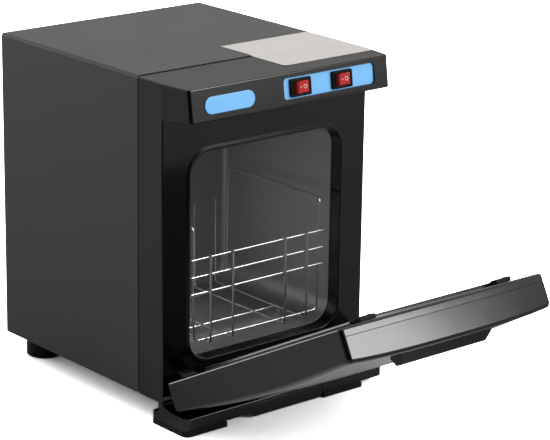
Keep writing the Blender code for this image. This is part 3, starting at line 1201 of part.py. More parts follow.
def build_handle(axis):
    """Grip wedge: a block narrowed toward its tip and cut to the curve of the shell."""
    face = HANDLE_FACE_S - AXIS_S
    mesh = box((-HANDLE_ROOT_HALF, face - HANDLE_ROOT_DEPTH, HANDLE_ROOT_T - AXIS_T),
               (HANDLE_ROOT_HALF, face, HANDLE_TIP_T - AXIS_T))
    root = DOOR_FREE_THICKNESS + PILLOW_FREE - AXIS_T
    grown = (HANDLE_TIP_T - HANDLE_ROOT_T) / (HANDLE_TIP_T - AXIS_T - root)
    for vertex in mesh.vertices:
        at_tip = vertex.co.z > 0 and abs(vertex.co.z - (HANDLE_TIP_T - AXIS_T)) < MERGE
        side = math.copysign(1, vertex.co.x)
        if at_tip:
            vertex.co.x = side * HANDLE_TIP_HALF
            if vertex.co.y < face - MERGE:
                vertex.co.y = face - HANDLE_TIP_DEPTH
            continue
        vertex.co.x = side * (HANDLE_TIP_HALF + (HANDLE_ROOT_HALF - HANDLE_TIP_HALF) * grown)
        if vertex.co.y < face - MERGE:
            vertex.co.y = face - HANDLE_TIP_DEPTH - (HANDLE_ROOT_DEPTH - HANDLE_TIP_DEPTH) * grown
    shape = bmesh.new()
    shape.from_mesh(mesh)
    bmesh.ops.bevel(shape, geom=list(shape.edges), offset=HANDLE_EDGE, segments=2, profile=0.5,
                    affect="EDGES")
    handle = add_part("door_handle", mesh_from(shape), axis, BLACK_GLOSS)
    combine(handle, door_surface(CLEARANCE, DOOR_SEAM, True), "DIFFERENCE")


def build_catches(axis, origin):
    level = -CLEARANCE - AXIS_T
    top = level - CATCH_HEIGHT
    length = CATCH_S - AXIS_S
    for side, word in ((-1, "left"), (1, "right")):
        middle = side * CATCH_X
        spot = middle + STUD_OFFSET
        mesh = box((middle - CATCH_HALF, length - CATCH_HALF_LENGTH, top),
                   (middle + CATCH_HALF, length + CATCH_HALF_LENGTH, level))
        bevel_edges(mesh, 2, top, CATCH_EDGE)
        block = add_part("catch_block_" + word, mesh, axis, BLACK_GLOSS)
        well = rod((spot, length, top - OVERRUN), (spot, length, top + STUD_DEPTH + CLEARANCE),
                   STUD_RADIUS + CLEARANCE)
        combine(block, well, "DIFFERENCE")
        half = STUD_RADIUS / 2
        profile = [(0, STUD_RISE), (half, STUD_RISE * (1 - DOME_SHARE)), (STUD_RADIUS, 0),
                   (STUD_RADIUS, -STUD_DEPTH), (0, -STUD_DEPTH)]
        turned("catch_stud_" + word, profile, False, axis, CHROME, (spot, length, top), math.pi)

        back = -STRIP_DEPTH + WALL + CLEARANCE
        level_z = AXIS_Z + length
        mesh = box((middle - MAGNET_HALF, back, level_z - MAGNET_HALF_HEIGHT),
                   (middle + MAGNET_HALF, back + MAGNET_SHEET, level_z + MAGNET_HALF_HEIGHT))
        add_part("catch_magnet_" + word, mesh, origin, ((0.2, 0.2, 0.21), 1, 0.4))


def build_hinges(origin):
    start = -STRIP_DEPTH - CLEARANCE
    ear = BRACKET_EAR
    bend = ear * ROUND_SHARE
    corners = [(start, AXIS_Z - ear, 0), (start, AXIS_Z + ear, 0), (AXIS_Y - ear, AXIS_Z + ear, bend),
               (AXIS_Y - ear, AXIS_Z - ear, bend)]
    hole = PIN_RADIUS + CLEARANCE
    circle = [(AXIS_Y + hole * math.cos(math.tau * step / ROD_SIDES),
               AXIS_Z + hole * math.sin(math.tau * step / ROD_SIDES), 0) for step in range(ROD_SIDES)]
    for side, word in ((-1, "left"), (1, "right")):
        ends = sorted((side * BRACKET_INNER, side * BRACKET_OUTER))
        mesh = prism([outline(corners), circle], "X", ends[0], ends[1])
        add_part("hinge_bracket_" + word, mesh, origin, BLACK_PAINT)
        mesh = rod((side * PIN_INNER, AXIS_Y, AXIS_Z), (side * PIN_OUTER, AXIS_Y, AXIS_Z), PIN_RADIUS)
        add_part("hinge_pin_" + word, mesh, origin, STEEL)


def build_basket(origin):
    """Wire basket in two welded pieces; welded wires overlap by a little of their thickness."""
    axis = add_axis("basket_axis", origin, (0, 0, 0))
    post = BASKET_RAIL_Y + BASKET_WELD
    back = BASKET_BACK
    foot = BASKET_FOOT_HALF
    top = BASKET_TOP_HALF
    low = BASKET_FOOT_Z
    high = BASKET_TOP_Z
    points = [(-top, post, high), (-foot, post, low), (foot, post, low), (top, post, high),
              (top, back, high), (foot, back, low), (-foot, back, low), (-top, back, high)]
    path = rounded(points, [BASKET_BEND] * len(points), BEND_STEPS, True)
    frame = add_part("basket_frame", bent_wire([path], BASKET_WIRE, True), axis, CHROME)
    rails = [MOUTH_LOW + rise for rise in BASKET_RAIL_RISES]
    rods = [rod((-BASKET_RAIL_HALF, BASKET_RAIL_Y, z), (BASKET_RAIL_HALF, BASKET_RAIL_Y, z),
                BASKET_WIRE, RAIL_SIDES) for z in rails]
    combine(frame, gather(rods), "UNION")

    front = BASKET_RAIL_Y - 2 * BASKET_WIRE - CLEARANCE
    rear = back - 2 * BASKET_WIRE - CLEARANCE
    crown = rails[0] + BASKET_UPRIGHT_OVER
    paths = []
    for x in BASKET_UPRIGHTS:
        points = [(x, front, crown), (x, front, BASKET_FLOOR_Z), (x, rear, BASKET_FLOOR_Z), (x, rear, crown)]
        paths.append(rounded(points, [BASKET_BEND] * len(points), BEND_STEPS, False))
    floor = add_part("basket_floor", bent_wire(paths, BASKET_WIRE), axis, CHROME)

    under = BASKET_FLOOR_Z - BASKET_WELD
    half = BASKET_LEG_HALF
    stand = MOUTH_LOW + CLEARANCE
    paths = []
    for y in (BASKET_LEG_FRONT, BASKET_LEG_BACK):
        points = [(-half, y, stand), (-half, y, under), (half, y, under), (half, y, stand)]
        bend = (under - stand) / 2
        paths.append(rounded(points, [0, bend, bend, 0], BEND_STEPS, False))
    combine(floor, bent_wire(paths, BASKET_WIRE), "UNION")


def centre_on_floor(origin):
    """Move the whole cabinet so that the middle of its lowest plane is the world origin."""
    bpy.context.view_layer.update()
    graph = bpy.context.evaluated_depsgraph_get()
    places = []
    for part in PARTS.objects:
        if part.type == "MESH":
            shown = part.evaluated_get(graph)
            mesh = shown.to_mesh()
            places += [part.matrix_world @ vertex.co for vertex in mesh.vertices]
            shown.to_mesh_clear()
    depths = [place.y for place in places]
    origin.location = (0, -(min(depths) + max(depths)) / 2, -min(place.z for place in places))
    bpy.context.view_layer.update()


LINER_SIDE = 1
REFLECTOR_SIDE = 1
DOME_SHARE = 0.3
ROUND_SHARE = 0.98
FACE_Y = -(HEADER_TOP_REACH + HEADER_FOOT_REACH) / 2
FACE_Z = (HEADER_TOP_Z + HEADER_FOOT_Z) / 2

clear_scene()
PARTS = new_collection("hot_towel_cabinet")
CUTTERS = new_collection("cutters")
cabinet = add_axis("cabinet_origin", None, (0, 0, 0))
header_face = add_axis("header_face", cabinet, (0, FACE_Y, FACE_Z), math.pi / 2 - HEADER_LEAN)
door_axis = add_axis("door_axis", cabinet, (0, AXIS_Y, AXIS_Z), math.pi - DOOR_OPEN)

build_case(cabinet)
build_rear(cabinet)
build_frame(cabinet, header_face)
build_panel(header_face)
build_switch(header_face, UV_SWITCH_X, "uv")
build_switch(header_face, POWER_SWITCH_X, "power")
build_sticker(cabinet)
build_base(cabinet)
build_tray(cabinet)
liner_wall = build_liner(cabinet)
build_sensors(cabinet, liner_wall)
build_lamp(cabinet)
build_electrics(cabinet, liner_wall)
build_hinges(cabinet)
build_door(door_axis)
build_handle(door_axis)
build_catches(door_axis, cabinet)
build_basket(cabinet)
centre_on_floor(cabinet)
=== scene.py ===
"""A table-top hot towel cabinet dressed for the picture: satin black case, glossy black
mouldings, a wire basket in an aluminium chamber. Metres, +Z up, the open door points to -Y."""
import json
import math

import bmesh
import bpy
import numpy as np
from mathutils import Matrix, Vector


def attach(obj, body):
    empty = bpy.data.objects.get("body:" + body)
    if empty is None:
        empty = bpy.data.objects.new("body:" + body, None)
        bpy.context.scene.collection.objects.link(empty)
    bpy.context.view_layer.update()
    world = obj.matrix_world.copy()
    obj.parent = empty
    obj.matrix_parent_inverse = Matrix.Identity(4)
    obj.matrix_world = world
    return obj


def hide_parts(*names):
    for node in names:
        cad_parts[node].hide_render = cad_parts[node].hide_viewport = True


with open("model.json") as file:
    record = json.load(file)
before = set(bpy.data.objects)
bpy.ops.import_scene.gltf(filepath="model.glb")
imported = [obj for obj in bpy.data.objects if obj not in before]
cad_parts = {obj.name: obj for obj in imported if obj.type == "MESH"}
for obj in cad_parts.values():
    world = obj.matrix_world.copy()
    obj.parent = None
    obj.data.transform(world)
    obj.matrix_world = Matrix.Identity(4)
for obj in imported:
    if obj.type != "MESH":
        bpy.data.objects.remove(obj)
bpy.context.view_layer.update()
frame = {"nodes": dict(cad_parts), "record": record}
nodes = frame["nodes"]


# ---------------------------------------------------------------- camera
# A long lens on a stand, a little above the header and well to the left of the cabinet,
# rolled by under a degree.

def placed(name, data):
    """New object for this data, in the scene at the origin."""
    thing = bpy.data.objects.new(name, data)
    bpy.context.scene.collection.objects.link(thing)
    return thing


lens = bpy.data.cameras.new("product_lens")
lens.sensor_width = 36.0
lens.lens = 157.14
lens.clip_end = 20.0
stand_point = Vector((-1.4147, -1.6757, 0.8518))
aim_point = Vector((0.042214, 0.035164, 0.165097))
roll = math.radians(0.869)
forward = (aim_point - stand_point).normalized()
level_right = forward.cross(Vector((0, 0, 1))).normalized()
level_up = level_right.cross(forward)
right = math.cos(roll) * level_right + math.sin(roll) * level_up
up = math.cos(roll) * level_up - math.sin(roll) * level_right
camera = placed("product_camera", lens)
camera.matrix_world = (Matrix.Translation(stand_point)
                       @ Matrix((right, up, -forward)).transposed().to_4x4())
bpy.context.scene.camera = camera
bpy.context.scene.view_settings.view_transform = "Standard"


# ---------------------------------------------------------------- floor and light
# A pale paper floor in an even white tent, with a narrow strip light low behind the cabinet; the
# floor carries painted light and shade that only its reflections show.
# The tent is open where the camera stands, and one soft window in front on the right gives
# the door's end its bright face.

class Wire:
    """One output of a shader's nodes, used in sums like a number."""

    def __init__(self, tree, output=None):
        self.tree = tree
        self.output = output

    def node(self, kind, settings, sockets, output=0):
        """Adds a node: its settings first, then a value or a link for each socket."""
        made = self.tree.nodes.new(kind)
        for name, value in settings.items():
            setattr(made, name, value)
        for name, value in sockets.items():
            if isinstance(value, Wire):
                self.tree.links.new(value.output, made.inputs[name])
            else:
                made.inputs[name].default_value = value
        return Wire(self.tree, made.outputs[output])

    def maths(self, operation, first, second=0.0):
        """One sum on two values, each a wire or a number."""
        return self.node("ShaderNodeMath", {"operation": operation}, {0: first, 1: second})

    def __add__(self, other):
        return self.maths("ADD", self, other)

    def __radd__(self, other):
        return self.maths("ADD", other, self)

    def __sub__(self, other):
        return self.maths("SUBTRACT", self, other)

    def __rsub__(self, other):
        return self.maths("SUBTRACT", other, self)

    def __mul__(self, other):
        return self.maths("MULTIPLY", self, other)

    def __rmul__(self, other):
        return self.maths("MULTIPLY", other, self)

    def __rtruediv__(self, other):
        return self.maths("DIVIDE", other, self)

    def __lt__(self, other):
        return self.maths("LESS_THAN", self, other)

    def __abs__(self):
        return self.maths("ABSOLUTE", self)

    def __pow__(self, power):
        return self.maths("POWER", self, power)

    def larger(self, other):
        """The larger of two values."""
        return self.maths("MAXIMUM", self, other)

    def ramp(self, low, high, first=0.0, last=1.0):
        """Runs evenly from first where the value is low to last where it is high."""
        return self.node("ShaderNodeMapRange", {}, {"Value": self, "From Min": low,
                                                    "From Max": high, "To Min": first,
                                                    "To Max": last})

    def part(self, axis):
        """One of the three numbers of this point."""
        return self.node("ShaderNodeSeparateXYZ", {}, {0: self}, axis)

    def along(self, direction):
        """How far this point lies along a direction from the origin."""
        return self.node("ShaderNodeVectorMath", {"operation": "DOT_PRODUCT"},
                         {0: self, 1: direction}, "Value")

    def away(self, point):
        """Distance of this point from a fixed one."""
        return self.node("ShaderNodeVectorMath", {"operation": "DISTANCE"},
                         {0: self, 1: point}, "Value")

    def mix(self, first, second):
        """Colour from first to second as this value goes from 0 to 1."""
        pair = [(*colour, 1.0) if isinstance(colour, tuple) else colour
                for colour in (first, second)]
        return self.node("ShaderNodeMix", {"data_type": "RGBA"},
                         {0: self, 6: pair[0], 7: pair[1]}, 2)

    def cloud(self, scale, detail=2.0, rough=0.5):
        """Cloudy value around 0.5, with scale spots in a metre."""
        return self.node("ShaderNodeTexNoise", {}, {"Vector": self, "Scale": scale,
                                                    "Detail": detail, "Roughness": rough})

    def cells(self, scale):
        """Distance to the nearest of the points scattered at scale to the metre."""
        return self.node("ShaderNodeTexVoronoi", {}, {"Vector": self, "Scale": scale},
                         "Distance")

    def stretch(self, x, y, z):
        """This point with each of its numbers multiplied, so that a pattern gets finer."""
        return self.node("ShaderNodeMapping", {}, {"Vector": self, "Scale": (x, y, z)})

    def bump(self, strength, distance, below=None):
        """Normal of a surface on which this value is the height."""
        sockets = {"Height": self, "Strength": strength, "Distance": distance}
        if below is not None:
            sockets["Normal"] = below
        return self.node("ShaderNodeBump", {}, sockets)


def finish(name, recipe, **fixed):
    """Principled material: recipe(place) gives the sockets that vary over the surface, and
    fixed the ones that are the same all over it."""
    material = bpy.data.materials.new(name)
    material.use_nodes = True
    tree = material.node_tree
    shader = tree.nodes["Principled BSDF"]
    place = Wire(tree).node("ShaderNodeTexCoord", {}, {}, "Object")
    for label, value in {**fixed, **recipe(place)}.items():
        socket = shader.inputs[label.replace("_", " ")]
        if isinstance(value, Wire):
            tree.links.new(value.output, socket)
        else:
            socket.default_value = value
    return material


stand_level = Vector((stand_point.x, stand_point.y, 0.0)).normalized()
floor_half = 6
floor_mesh = bpy.data.meshes.new("floor")
floor_mesh.from_pydata([(-floor_half, -floor_half, 0), (floor_half, -floor_half, 0),
                        (floor_half, floor_half, 0), (-floor_half, floor_half, 0)],
                       [], [(0, 1, 2, 3)])
floor = placed("floor", floor_mesh)


def floor_paper(place):
    """White to the eye. In reflections only it carries painted light and shade: a duller sheet
    painted to fall off from left to right and rise again far away, a painted pool of light under
    the door and a fainter one on the left, and painted shade where the tent is open toward the
    stand: there the share of a point's distance from the cabinet that lies toward the stand is
    near one."""
    eye, glossy, clear = (Wire(place.tree).node("ShaderNodeLightPath", {}, {}, f"Is {kind} Ray")
                          for kind in ("Camera", "Glossy", "Transmission"))
    black, grey, white = (0.0, 0.0, 0.0), (0.80, 0.80, 0.80), (4.0, 4.0, 4.0)
    far = place.away((-0.02, -0.06, 0.0))
    middle_along = 0.059
    turned = (place.along(tuple(stand_level)) - middle_along) * (1 / far.larger(0.01))
    # Painted shade, seen only in reflections, where the tent is open toward the stand.
    painted_opening_shade = turned.ramp(0.45, 0.80) * far.ramp(0.40, 0.75)
    # Painted light for reflections: the sheet's brightness falls off from left to right and rises
    # far away.
    sheet = place.part(0).ramp(-0.5, 0.4, 0.50, 0.32) + far.ramp(1.5, 4.0, 0.0, 0.4)
    # Painted pools of light under the door and on the left, seen only in reflections.
    painted_light_under_door = place.away((-0.03, -0.17, 0.0)).ramp(0.10, 0.22, 1.0, 0.0)
    painted_light_on_left = place.away((-0.33, -0.02, 0.0)).ramp(0.10, 0.28, 0.18, 0.0)
    shine = (sheet + painted_light_under_door + painted_light_on_left) * (1 - 0.94 * painted_opening_shade)
    mirrored = glossy.mix(grey, (shine * (1 / white[0])).mix(black, white))
    return {"Base_Color": eye.larger(clear).mix(mirrored, white)}


floor_mesh.materials.append(finish("floor_paper", floor_paper, Roughness=0.95,
                                   Specular_IOR_Level=0.0))

tent = bpy.data.worlds.new("white_tent")
bpy.context.scene.world = tent
tent.use_nodes = True
sky = tent.node_tree.nodes["Background"]
towards = Wire(tent.node_tree).node("ShaderNodeTexCoord", {}, {}, "Generated")
height = towards.part(2)
back = towards.part(1).ramp(0.1, 0.5)
wall = height.ramp(0.28, 0.36, 0.35, 1.05) * (1 - 0.12 * back * height.ramp(0.40, 0.55))
low_back = back * height.ramp(0.06, 0.16, 1.2, 0.0)
low_front = (towards.along((0.45, -0.89, 0.0)).ramp(0.88, 0.975, 0.0, 0.95)
             * height.ramp(0.1, 0.3, 1.0, 0.0))
strip_light = (abs(towards.along((0.946, 0.324, 0.0))).ramp(0.12, 0.16, 4.5, 0.0)
               * height.ramp(0.28, 0.32, 1.0, 0.0) * towards.part(1).ramp(0.5, 0.6))
tent_opening = towards.along(tuple(stand_level)).ramp(0.45, 0.80, 1.0, 0.05)
tone = (wall + low_back + low_front + strip_light) * tent_opening
backdrop = Wire(tent.node_tree).node("ShaderNodeLightPath", {}, {}, "Is Camera Ray")
brightest = 20.0
shade = (backdrop.larger(tone) * (1 / brightest)).mix((0.0, 0.0, 0.0), (1.0, 1.0, 1.0))
tent.node_tree.links.new(shade.output, sky.inputs["Color"])
sky.inputs["Strength"].default_value = brightest

window = bpy.data.lights.new("soft_window", "AREA")
window.shape = "RECTANGLE"
window.size = 0.74
window.size_y = 0.90
window.energy = 25.0
window_stand = placed("soft_window", window)
door_end = Vector((-0.04, -0.245, 0.14))
window_stand.location = Vector((1.205, -2.00, 1.0))
window_aim = door_end - window_stand.location
window_stand.rotation_euler = window_aim.to_track_quat("-Z", "Y").to_euler()


# ---------------------------------------------------------------- case
# One sheet of steel folded over both sides and the top, painted satin black in a fine
# powder coat. Its front edges are rolled in and leave a dark seam at the front frame.

seam_foot = np.array((0.0, 0.035164, 0.024))


def surface(name, grids, around=True, ends=True):
    """Mesh over grids of points, each (rows, columns, 3) and in millimetres from the middle
    of the case's front seam at its foot: every cell of a grid is one four-sided face.
    around joins the last column to the first, ends closes the first and last row."""
    corners, faces, first = [], [], 0
    for grid in grids:
        grid = np.asarray(grid, float)
        rows, columns = grid.shape[:2]
        index = first + np.arange(rows * columns).reshape(rows, columns)
        if around:
            index = np.concatenate([index, index[:, :1]], axis=1)
        cells = np.stack([index[:-1, :-1], index[:-1, 1:], index[1:, 1:], index[1:, :-1]],
                         axis=-1)
        faces += cells.reshape(-1, 4).tolist()
        if ends:
            faces += [index[0, :columns].tolist(), index[-1, :columns].tolist()]
        corners.append(grid.reshape(-1, 3))
        first += rows * columns
    mesh = bpy.data.meshes.new(name)
    mesh.from_pydata((np.concatenate(corners) * 0.001 + seam_foot).tolist(), [], faces)
    return mesh


def shown(name, mesh, material, body, stands_for, sheet=0.0, bevel=0.0, crisp=35):
    """Merges a mesh's doubled corners, turns its faces outward, smooths it up to the crisp
    angle, and sets it on its body in place of the nodes that it stands for. sheet is the
    thickness of its wall and bevel the width of its rounded edges, in millimetres."""
    work = bmesh.new()
    work.from_mesh(mesh)
    bmesh.ops.remove_doubles(work, verts=work.verts, dist=0.000002)
    bmesh.ops.recalc_face_normals(work, faces=work.faces)
    work.to_mesh(mesh)
    work.free()
    mesh.shade_smooth()
    mesh.set_sharp_from_angle(angle=math.radians(crisp))
    mesh.materials.append(material)
    piece = placed(name, mesh)
    if sheet:
        wall = piece.modifiers.new("sheet", "SOLIDIFY")
        wall.thickness = sheet * 0.001
        wall.offset = -1.0
        wall.use_even_offset = True
    if bevel:
        edge = piece.modifiers.new("edges", "BEVEL")
        edge.width = bevel * 0.001
        edge.segments = 3
        edge.limit_method = "ANGLE"
        edge.angle_limit = math.radians(crisp)
        edge.use_clamp_overlap = True
    even = piece.modifiers.new("even_faces", "WEIGHTED_NORMAL")
    even.keep_sharp = not bevel
    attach(piece, body)
    if stands_for:
        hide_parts(*stands_for)


def powder_coat(place):
    """Satin black: fine orange peel, cloudy sheen and a trace of dust."""
    peel = place.cloud(900.0, 3.0)
    wide = place.cloud(14.0, 3.0)
    dust = place.cloud(2600.0, 1.0).ramp(0.70, 0.78)
    return {"Base_Color": (dust * 0.25 + wide * 0.3).mix((0.025, 0.025, 0.0253),
                                                         (0.037, 0.037, 0.0376)),
            "Roughness": 0.36 + wide * 0.08 + peel * 0.08,
            "Normal": peel.bump(0.10, 0.0002)}


coat = finish("satin_black_powder_coat", powder_coat, Specular_IOR_Level=0.46)

# The section runs up the left wall, round the fold and over the top, and is mirrored for
# the right. The sheet is this section at each depth, drawn in square to itself at its ends.
case_half, case_depth, case_height = 125.0, 223.0, 310.5
fold = 3.0
turn = np.linspace(0, np.pi / 2, 9)
left_fold = np.stack([-case_half + fold - fold * np.cos(turn),
                      case_height - fold + fold * np.sin(turn)], 1)
rise = np.linspace(0, case_height - fold, 12)[:-1]
left_wall = np.stack([np.full_like(rise, -case_half), rise], 1)
half_section = np.concatenate([left_wall, left_fold])
section = np.concatenate([half_section, half_section[::-1] * (-1, 1)])
on_side = abs(section[:, 0]) > case_half - fold
on_top = section[:, 1] > case_height - fold - 0.01
square_out = np.stack([np.sign(section[:, 0]) * on_side, on_top * 1.0], 1)
square_out /= np.maximum(np.linalg.norm(square_out, axis=1, keepdims=True), 1.0)
deep = np.array([0.75, 0.82, 1.0, 1.4, 60.0, 120.0, 180.0,
                 case_depth - 1.0, case_depth - 0.4, case_depth - 0.1])
roll_in = np.array([0.35, 0.15, 0.03, 0.0, 0.0, 0.0, 0.0, 0.0, 0.1, 0.4])
rolled = section - roll_in[:, None, None] * square_out
case_grid = np.stack([rolled[..., 0], np.broadcast_to(deep[:, None], rolled.shape[:2]),
                      rolled[..., 1]], -1)
shown("case_sheet", surface("case_sheet", [case_grid], around=False, ends=False), coat,
      "cabinet", ["outer_case"], sheet=1.0)


# ---------------------------------------------------------------- rear and underside
# The back plate, with its vents, and the pan below are folded sheet in the case's own coat.
# Eight zinc-plated pan-head screws hold the plate in the case's rear edge.

def softened(node_name, name, width, material, body, crisp=30):
    """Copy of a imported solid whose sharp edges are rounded: its corners are merged, its
    flat faces are made whole, and a small bevel runs along every edge."""
    mesh = nodes[node_name].data.copy()
    mesh.materials.clear()
    work = bmesh.new()
    work.from_mesh(mesh)
    bmesh.ops.remove_doubles(work, verts=work.verts, dist=0.000002)
    bmesh.ops.dissolve_limit(work, angle_limit=math.radians(0.6), verts=work.verts,
                             edges=work.edges)
    work.to_mesh(mesh)
    work.free()
    shown(name, mesh, material, body, [node_name], bevel=width, crisp=crisp)


softened("rear_panel", "back_plate", 0.2, coat, "cabinet")
softened("base_pan", "under_pan", 0.2, coat, "cabinet")


def screw(x, z):
    """Pan-head screw: its height over a round grid falls off as a dome toward the rim, as
    the root of one less the fourth power of the reach, and it drops inside two crossed
    slots at the centre."""
    radius, head, slot_half, slot_reach, slot_deep = 3.4, 2.1, 0.48, 0.62, 1.3
    reach = np.linspace(0, 1, 11)[:, None] ** 0.8
    angle = np.linspace(0, 2 * np.pi, 48, endpoint=False)[None]
    a, b = radius * reach * np.cos(angle), radius * reach * np.sin(angle)
    dome = head * np.sqrt(np.clip(1 - reach ** 4, 0, 1))
    slots = (np.clip((slot_half - np.minimum(abs(a), abs(b))) / 0.18, 0, 1)
             * np.clip((slot_reach - reach) / 0.12, 0, 1))
    return np.stack([x + a, case_depth - 0.3 + dome - slot_deep * slots, z - b], -1)


def zinc(place):
    """Zinc-plated steel: bright, cloudy, with fine turning marks."""
    mist = place.cloud(400.0, 3.0)
    return {"Base_Color": mist.mix((0.46, 0.46, 0.48), (0.62, 0.62, 0.63)),
            "Roughness": 0.22 + mist * 0.2,
            "Normal": place.cloud(5000.0).bump(0.08, 0.0001)}


plated = finish("zinc_plate", zinc, Metallic=1.0)
screw_side = 114.0
spots = [(x, z) for x in (-screw_side, 0.0, screw_side) for z in (10.0, 299.5)]
spots += [(-screw_side, 155.0), (screw_side, 155.0)]
shown("back_screws", surface("back_screws", [screw(x, z) for x, z in spots], ends=False),
      plated, "cabinet", [], crisp=50)


# ---------------------------------------------------------------- front frame
# One glossy black moulding, clipped over the case's front edge: a deep strip round it, a
# face with the chamber's mouth and its raised lip, and the header that overhangs the door.

def loop(left, right, low, high, corner, steps=9):
    """Closed loop (n, 2) round a rectangle with round corners: four quarter circles, joined
    by straight sides. Loops of one step count match point for point."""
    turn = np.linspace(0, np.pi / 2, steps + 1)
    quarter = np.stack([np.cos(turn), np.sin(turn)], 1)
    centres = ((right - corner, high - corner), (left + corner, high - corner),
               (left + corner, low + corner), (right - corner, low + corner))
    rings = []
    for quarters, centre in enumerate(centres):
        c = round(math.cos(quarters * math.pi / 2))
        s = round(math.sin(quarters * math.pi / 2))
        rings.append(np.array(centre) + corner * quarter @ np.array(((c, s), (-s, c))))
    return np.concatenate(rings)


def shrink(ring, inset):
    """The loop moved inward by inset at each point, square to its own direction there."""
    ahead = np.roll(ring, -1, 0) - ring
    behind = ring - np.roll(ring, 1, 0)
    ahead = ahead / np.maximum(np.linalg.norm(ahead, axis=1, keepdims=True), 1e-9)
    behind = behind / np.maximum(np.linalg.norm(behind, axis=1, keepdims=True), 1e-9)
    along = ahead + behind
    along /= np.linalg.norm(along, axis=1, keepdims=True)
    return ring + np.reshape(inset, (-1, 1)) * np.stack([-along[:, 1], along[:, 0]], 1)


def rounding(radius, steps=5):
    """Inset and depth of a quarter-round edge, from the wall, where the inset is nothing, to
    the face, where the depth is."""
    turn = np.linspace(0, np.pi / 2, steps + 1)
    return [(radius * (1 - math.cos(t)), radius * (1 - math.sin(t))) for t in turn]


def level(ring, depth):
    """The flat loop (a, b) at one depth, as rows (a, b, depth)."""
    return np.concatenate([ring, np.broadcast_to(np.reshape(depth, (-1, 1)),
                                                 (len(ring), 1))], 1)


def facing_front(rows):
    """(a, b, depth) turned to stand upright facing the front: a to the right, b up."""
    rows = np.asarray(rows)
    return np.stack([rows[..., 0], -rows[..., 2], rows[..., 1]], -1)


def on_header(rows):
    """(u, v, w) on the leaning face of the header: u to the right, v up along it, w
    outward."""
    rows = np.asarray(rows)
    middle = np.array((0.0, -71.9, 293.65))
    up, out = np.array((0.0, 0.12597, 0.99203)), np.array((0.0, -0.99203, 0.12597))
    return (middle + rows[..., :1] * np.array((1.0, 0, 0)) + rows[..., 1:2] * up
            + rows[..., 2:] * out)


def carved(mesh, cutter):
    """The first closed mesh with the second one taken out of it."""
    pieces = [placed("carving", part) for part in (mesh, cutter)]
    cut = pieces[0].modifiers.new("cut", "BOOLEAN")
    cut.operation = "DIFFERENCE"
    cut.solver = "EXACT"
    cut.object = pieces[1]
    graph = bpy.context.evaluated_depsgraph_get()
    result = bpy.data.meshes.new_from_object(pieces[0].evaluated_get(graph))
    for piece in pieces:
        bpy.data.objects.remove(piece)
    return result


def moulded_gloss(place):
    """Glossy black moulding: slow ripple of the tool, faint smears and a little dust."""
    ripple = place.cloud(28.0, 2.0)
    smear = place.cloud(9.0, 4.0, 0.6)
    dust = place.cloud(3200.0, 1.0).ramp(0.72, 0.80)
    return {"Base_Color": (dust * 0.3 + smear * 0.2).mix((0.0012, 0.0012, 0.0013),
                                                         (0.007, 0.007, 0.0074)),
            "Roughness": 0.09 + smear * 0.10,
            "Normal": ripple.bump(0.04, 0.001, place.cloud(1800.0).bump(0.02, 0.0001))}


gloss = finish("gloss_black_moulding", moulded_gloss, Specular_IOR_Level=0.48)

strip = 36.3
header_reach, header_lean, header_corner = 73.9, 4.0, 4.0
header_root, header_foot = 275.0, 277.9
foot_slope = (header_foot - header_root) / (header_reach - strip)


def rim(inset, depth):
    """Outline of the strip: a rectangle as wide as the case, whose top follows the slope of
    the header's underside."""
    return level(loop(-case_half + inset, case_half - inset, inset,
                      header_root - foot_slope * (strip - depth), 0.02), depth)


# Loops from the liner's seat out to the back of the face, along the inside of the strip,
# round its rear edge, forward to the face, over the lip and back down the mouth.
mouth_half, mouth_low, mouth_high, mouth_corner = 93.3, 34.0, 238.0, 23.0
mouth = loop(-mouth_half, mouth_half, mouth_low, mouth_high, mouth_corner)
lip = loop(-95.8, 95.8, 30.0, 242.0, 25.5)
lip_top = strip + 1.8
seat, face_back, wall = 22.8, 33.8, 2.5
liner_seat = level(shrink(mouth, -1.5), seat)
rows = [liner_seat, level(shrink(mouth, -1.5), face_back), rim(wall, face_back),
        rim(wall, 0.35), rim(0.4, 0.35), rim(0.1, 0.42), rim(0.0, 0.7)]
rows += [rim(inset, strip - depth) for inset, depth in rounding(1.3, 6)]
rows += [rim(2.0, strip), level(shrink(lip, -1.2), strip), level(shrink(lip, -0.5), strip)]
rows += [level(shrink(lip, -depth), strip + inset) for inset, depth in rounding(0.5, 3)]
rows += [level(shrink(lip, inset), lip_top - depth) for inset, depth in rounding(0.7, 4)]
rows += [level(shrink(mouth, -inset), lip_top - depth)
         for inset, depth in reversed(rounding(0.8, 5))]
rows += [level(mouth, 30.0), level(mouth, seat), liner_seat]
shown("front_face", surface("front_face", [facing_front(rows)], ends=False), gloss, "cabinet",
      [])

header_flat = 117.7
header_step = 0.8
header_top_slope = 0.3 / (header_reach - header_lean)


def header_ring(share, inset, lift):
    """Plan outline of the header at a share of its height, moved inward by inset and up by
    lift: straight beside the strip, then drawn in a little toward two round front corners.
    Its height is the share's mean of the sloping underside and the nearly level top."""
    reach = header_reach - header_lean * share
    turn = np.linspace(0, np.pi / 2, 9)[:-1]
    left = np.stack([-header_flat - header_corner * np.cos(turn),
                     -(reach - header_corner) - header_corner * np.sin(turn)], 1)
    back = np.array(((0.4 - case_half, -0.35), (0.1 - case_half, -0.42), (-case_half, -0.7),
                     (-case_half, 0.01 - strip), (-case_half, -strip)))
    k = np.array((0.02, 0.25, 0.5, 0.75))[:, None]
    taper = (1 - k) * back[-1] + k * left[0]
    front = np.stack([np.linspace(-header_flat, 0.0, 8), np.full(8, -reach)], 1)
    half = np.concatenate([back, taper, left, front])
    ring = np.concatenate([half, half[-2::-1] * (-1, 1)])
    moved = shrink(ring, inset)
    behind = ring[:, 1] > -0.8
    moved[behind, 1] = ring[behind, 1] - 0.3 * inset
    fore = np.clip((-ring[:, 1] - strip) / 0.5, 0, 1)
    if share == 0:
        moved = ring + (moved - ring) * fore[:, None]
        lift = lift * fore
    low = header_root - foot_slope * (moved[:, 1] + strip)
    high = case_height - header_step + moved[:, 1] * header_top_slope
    return level(moved, low + (high - low) * share + lift)


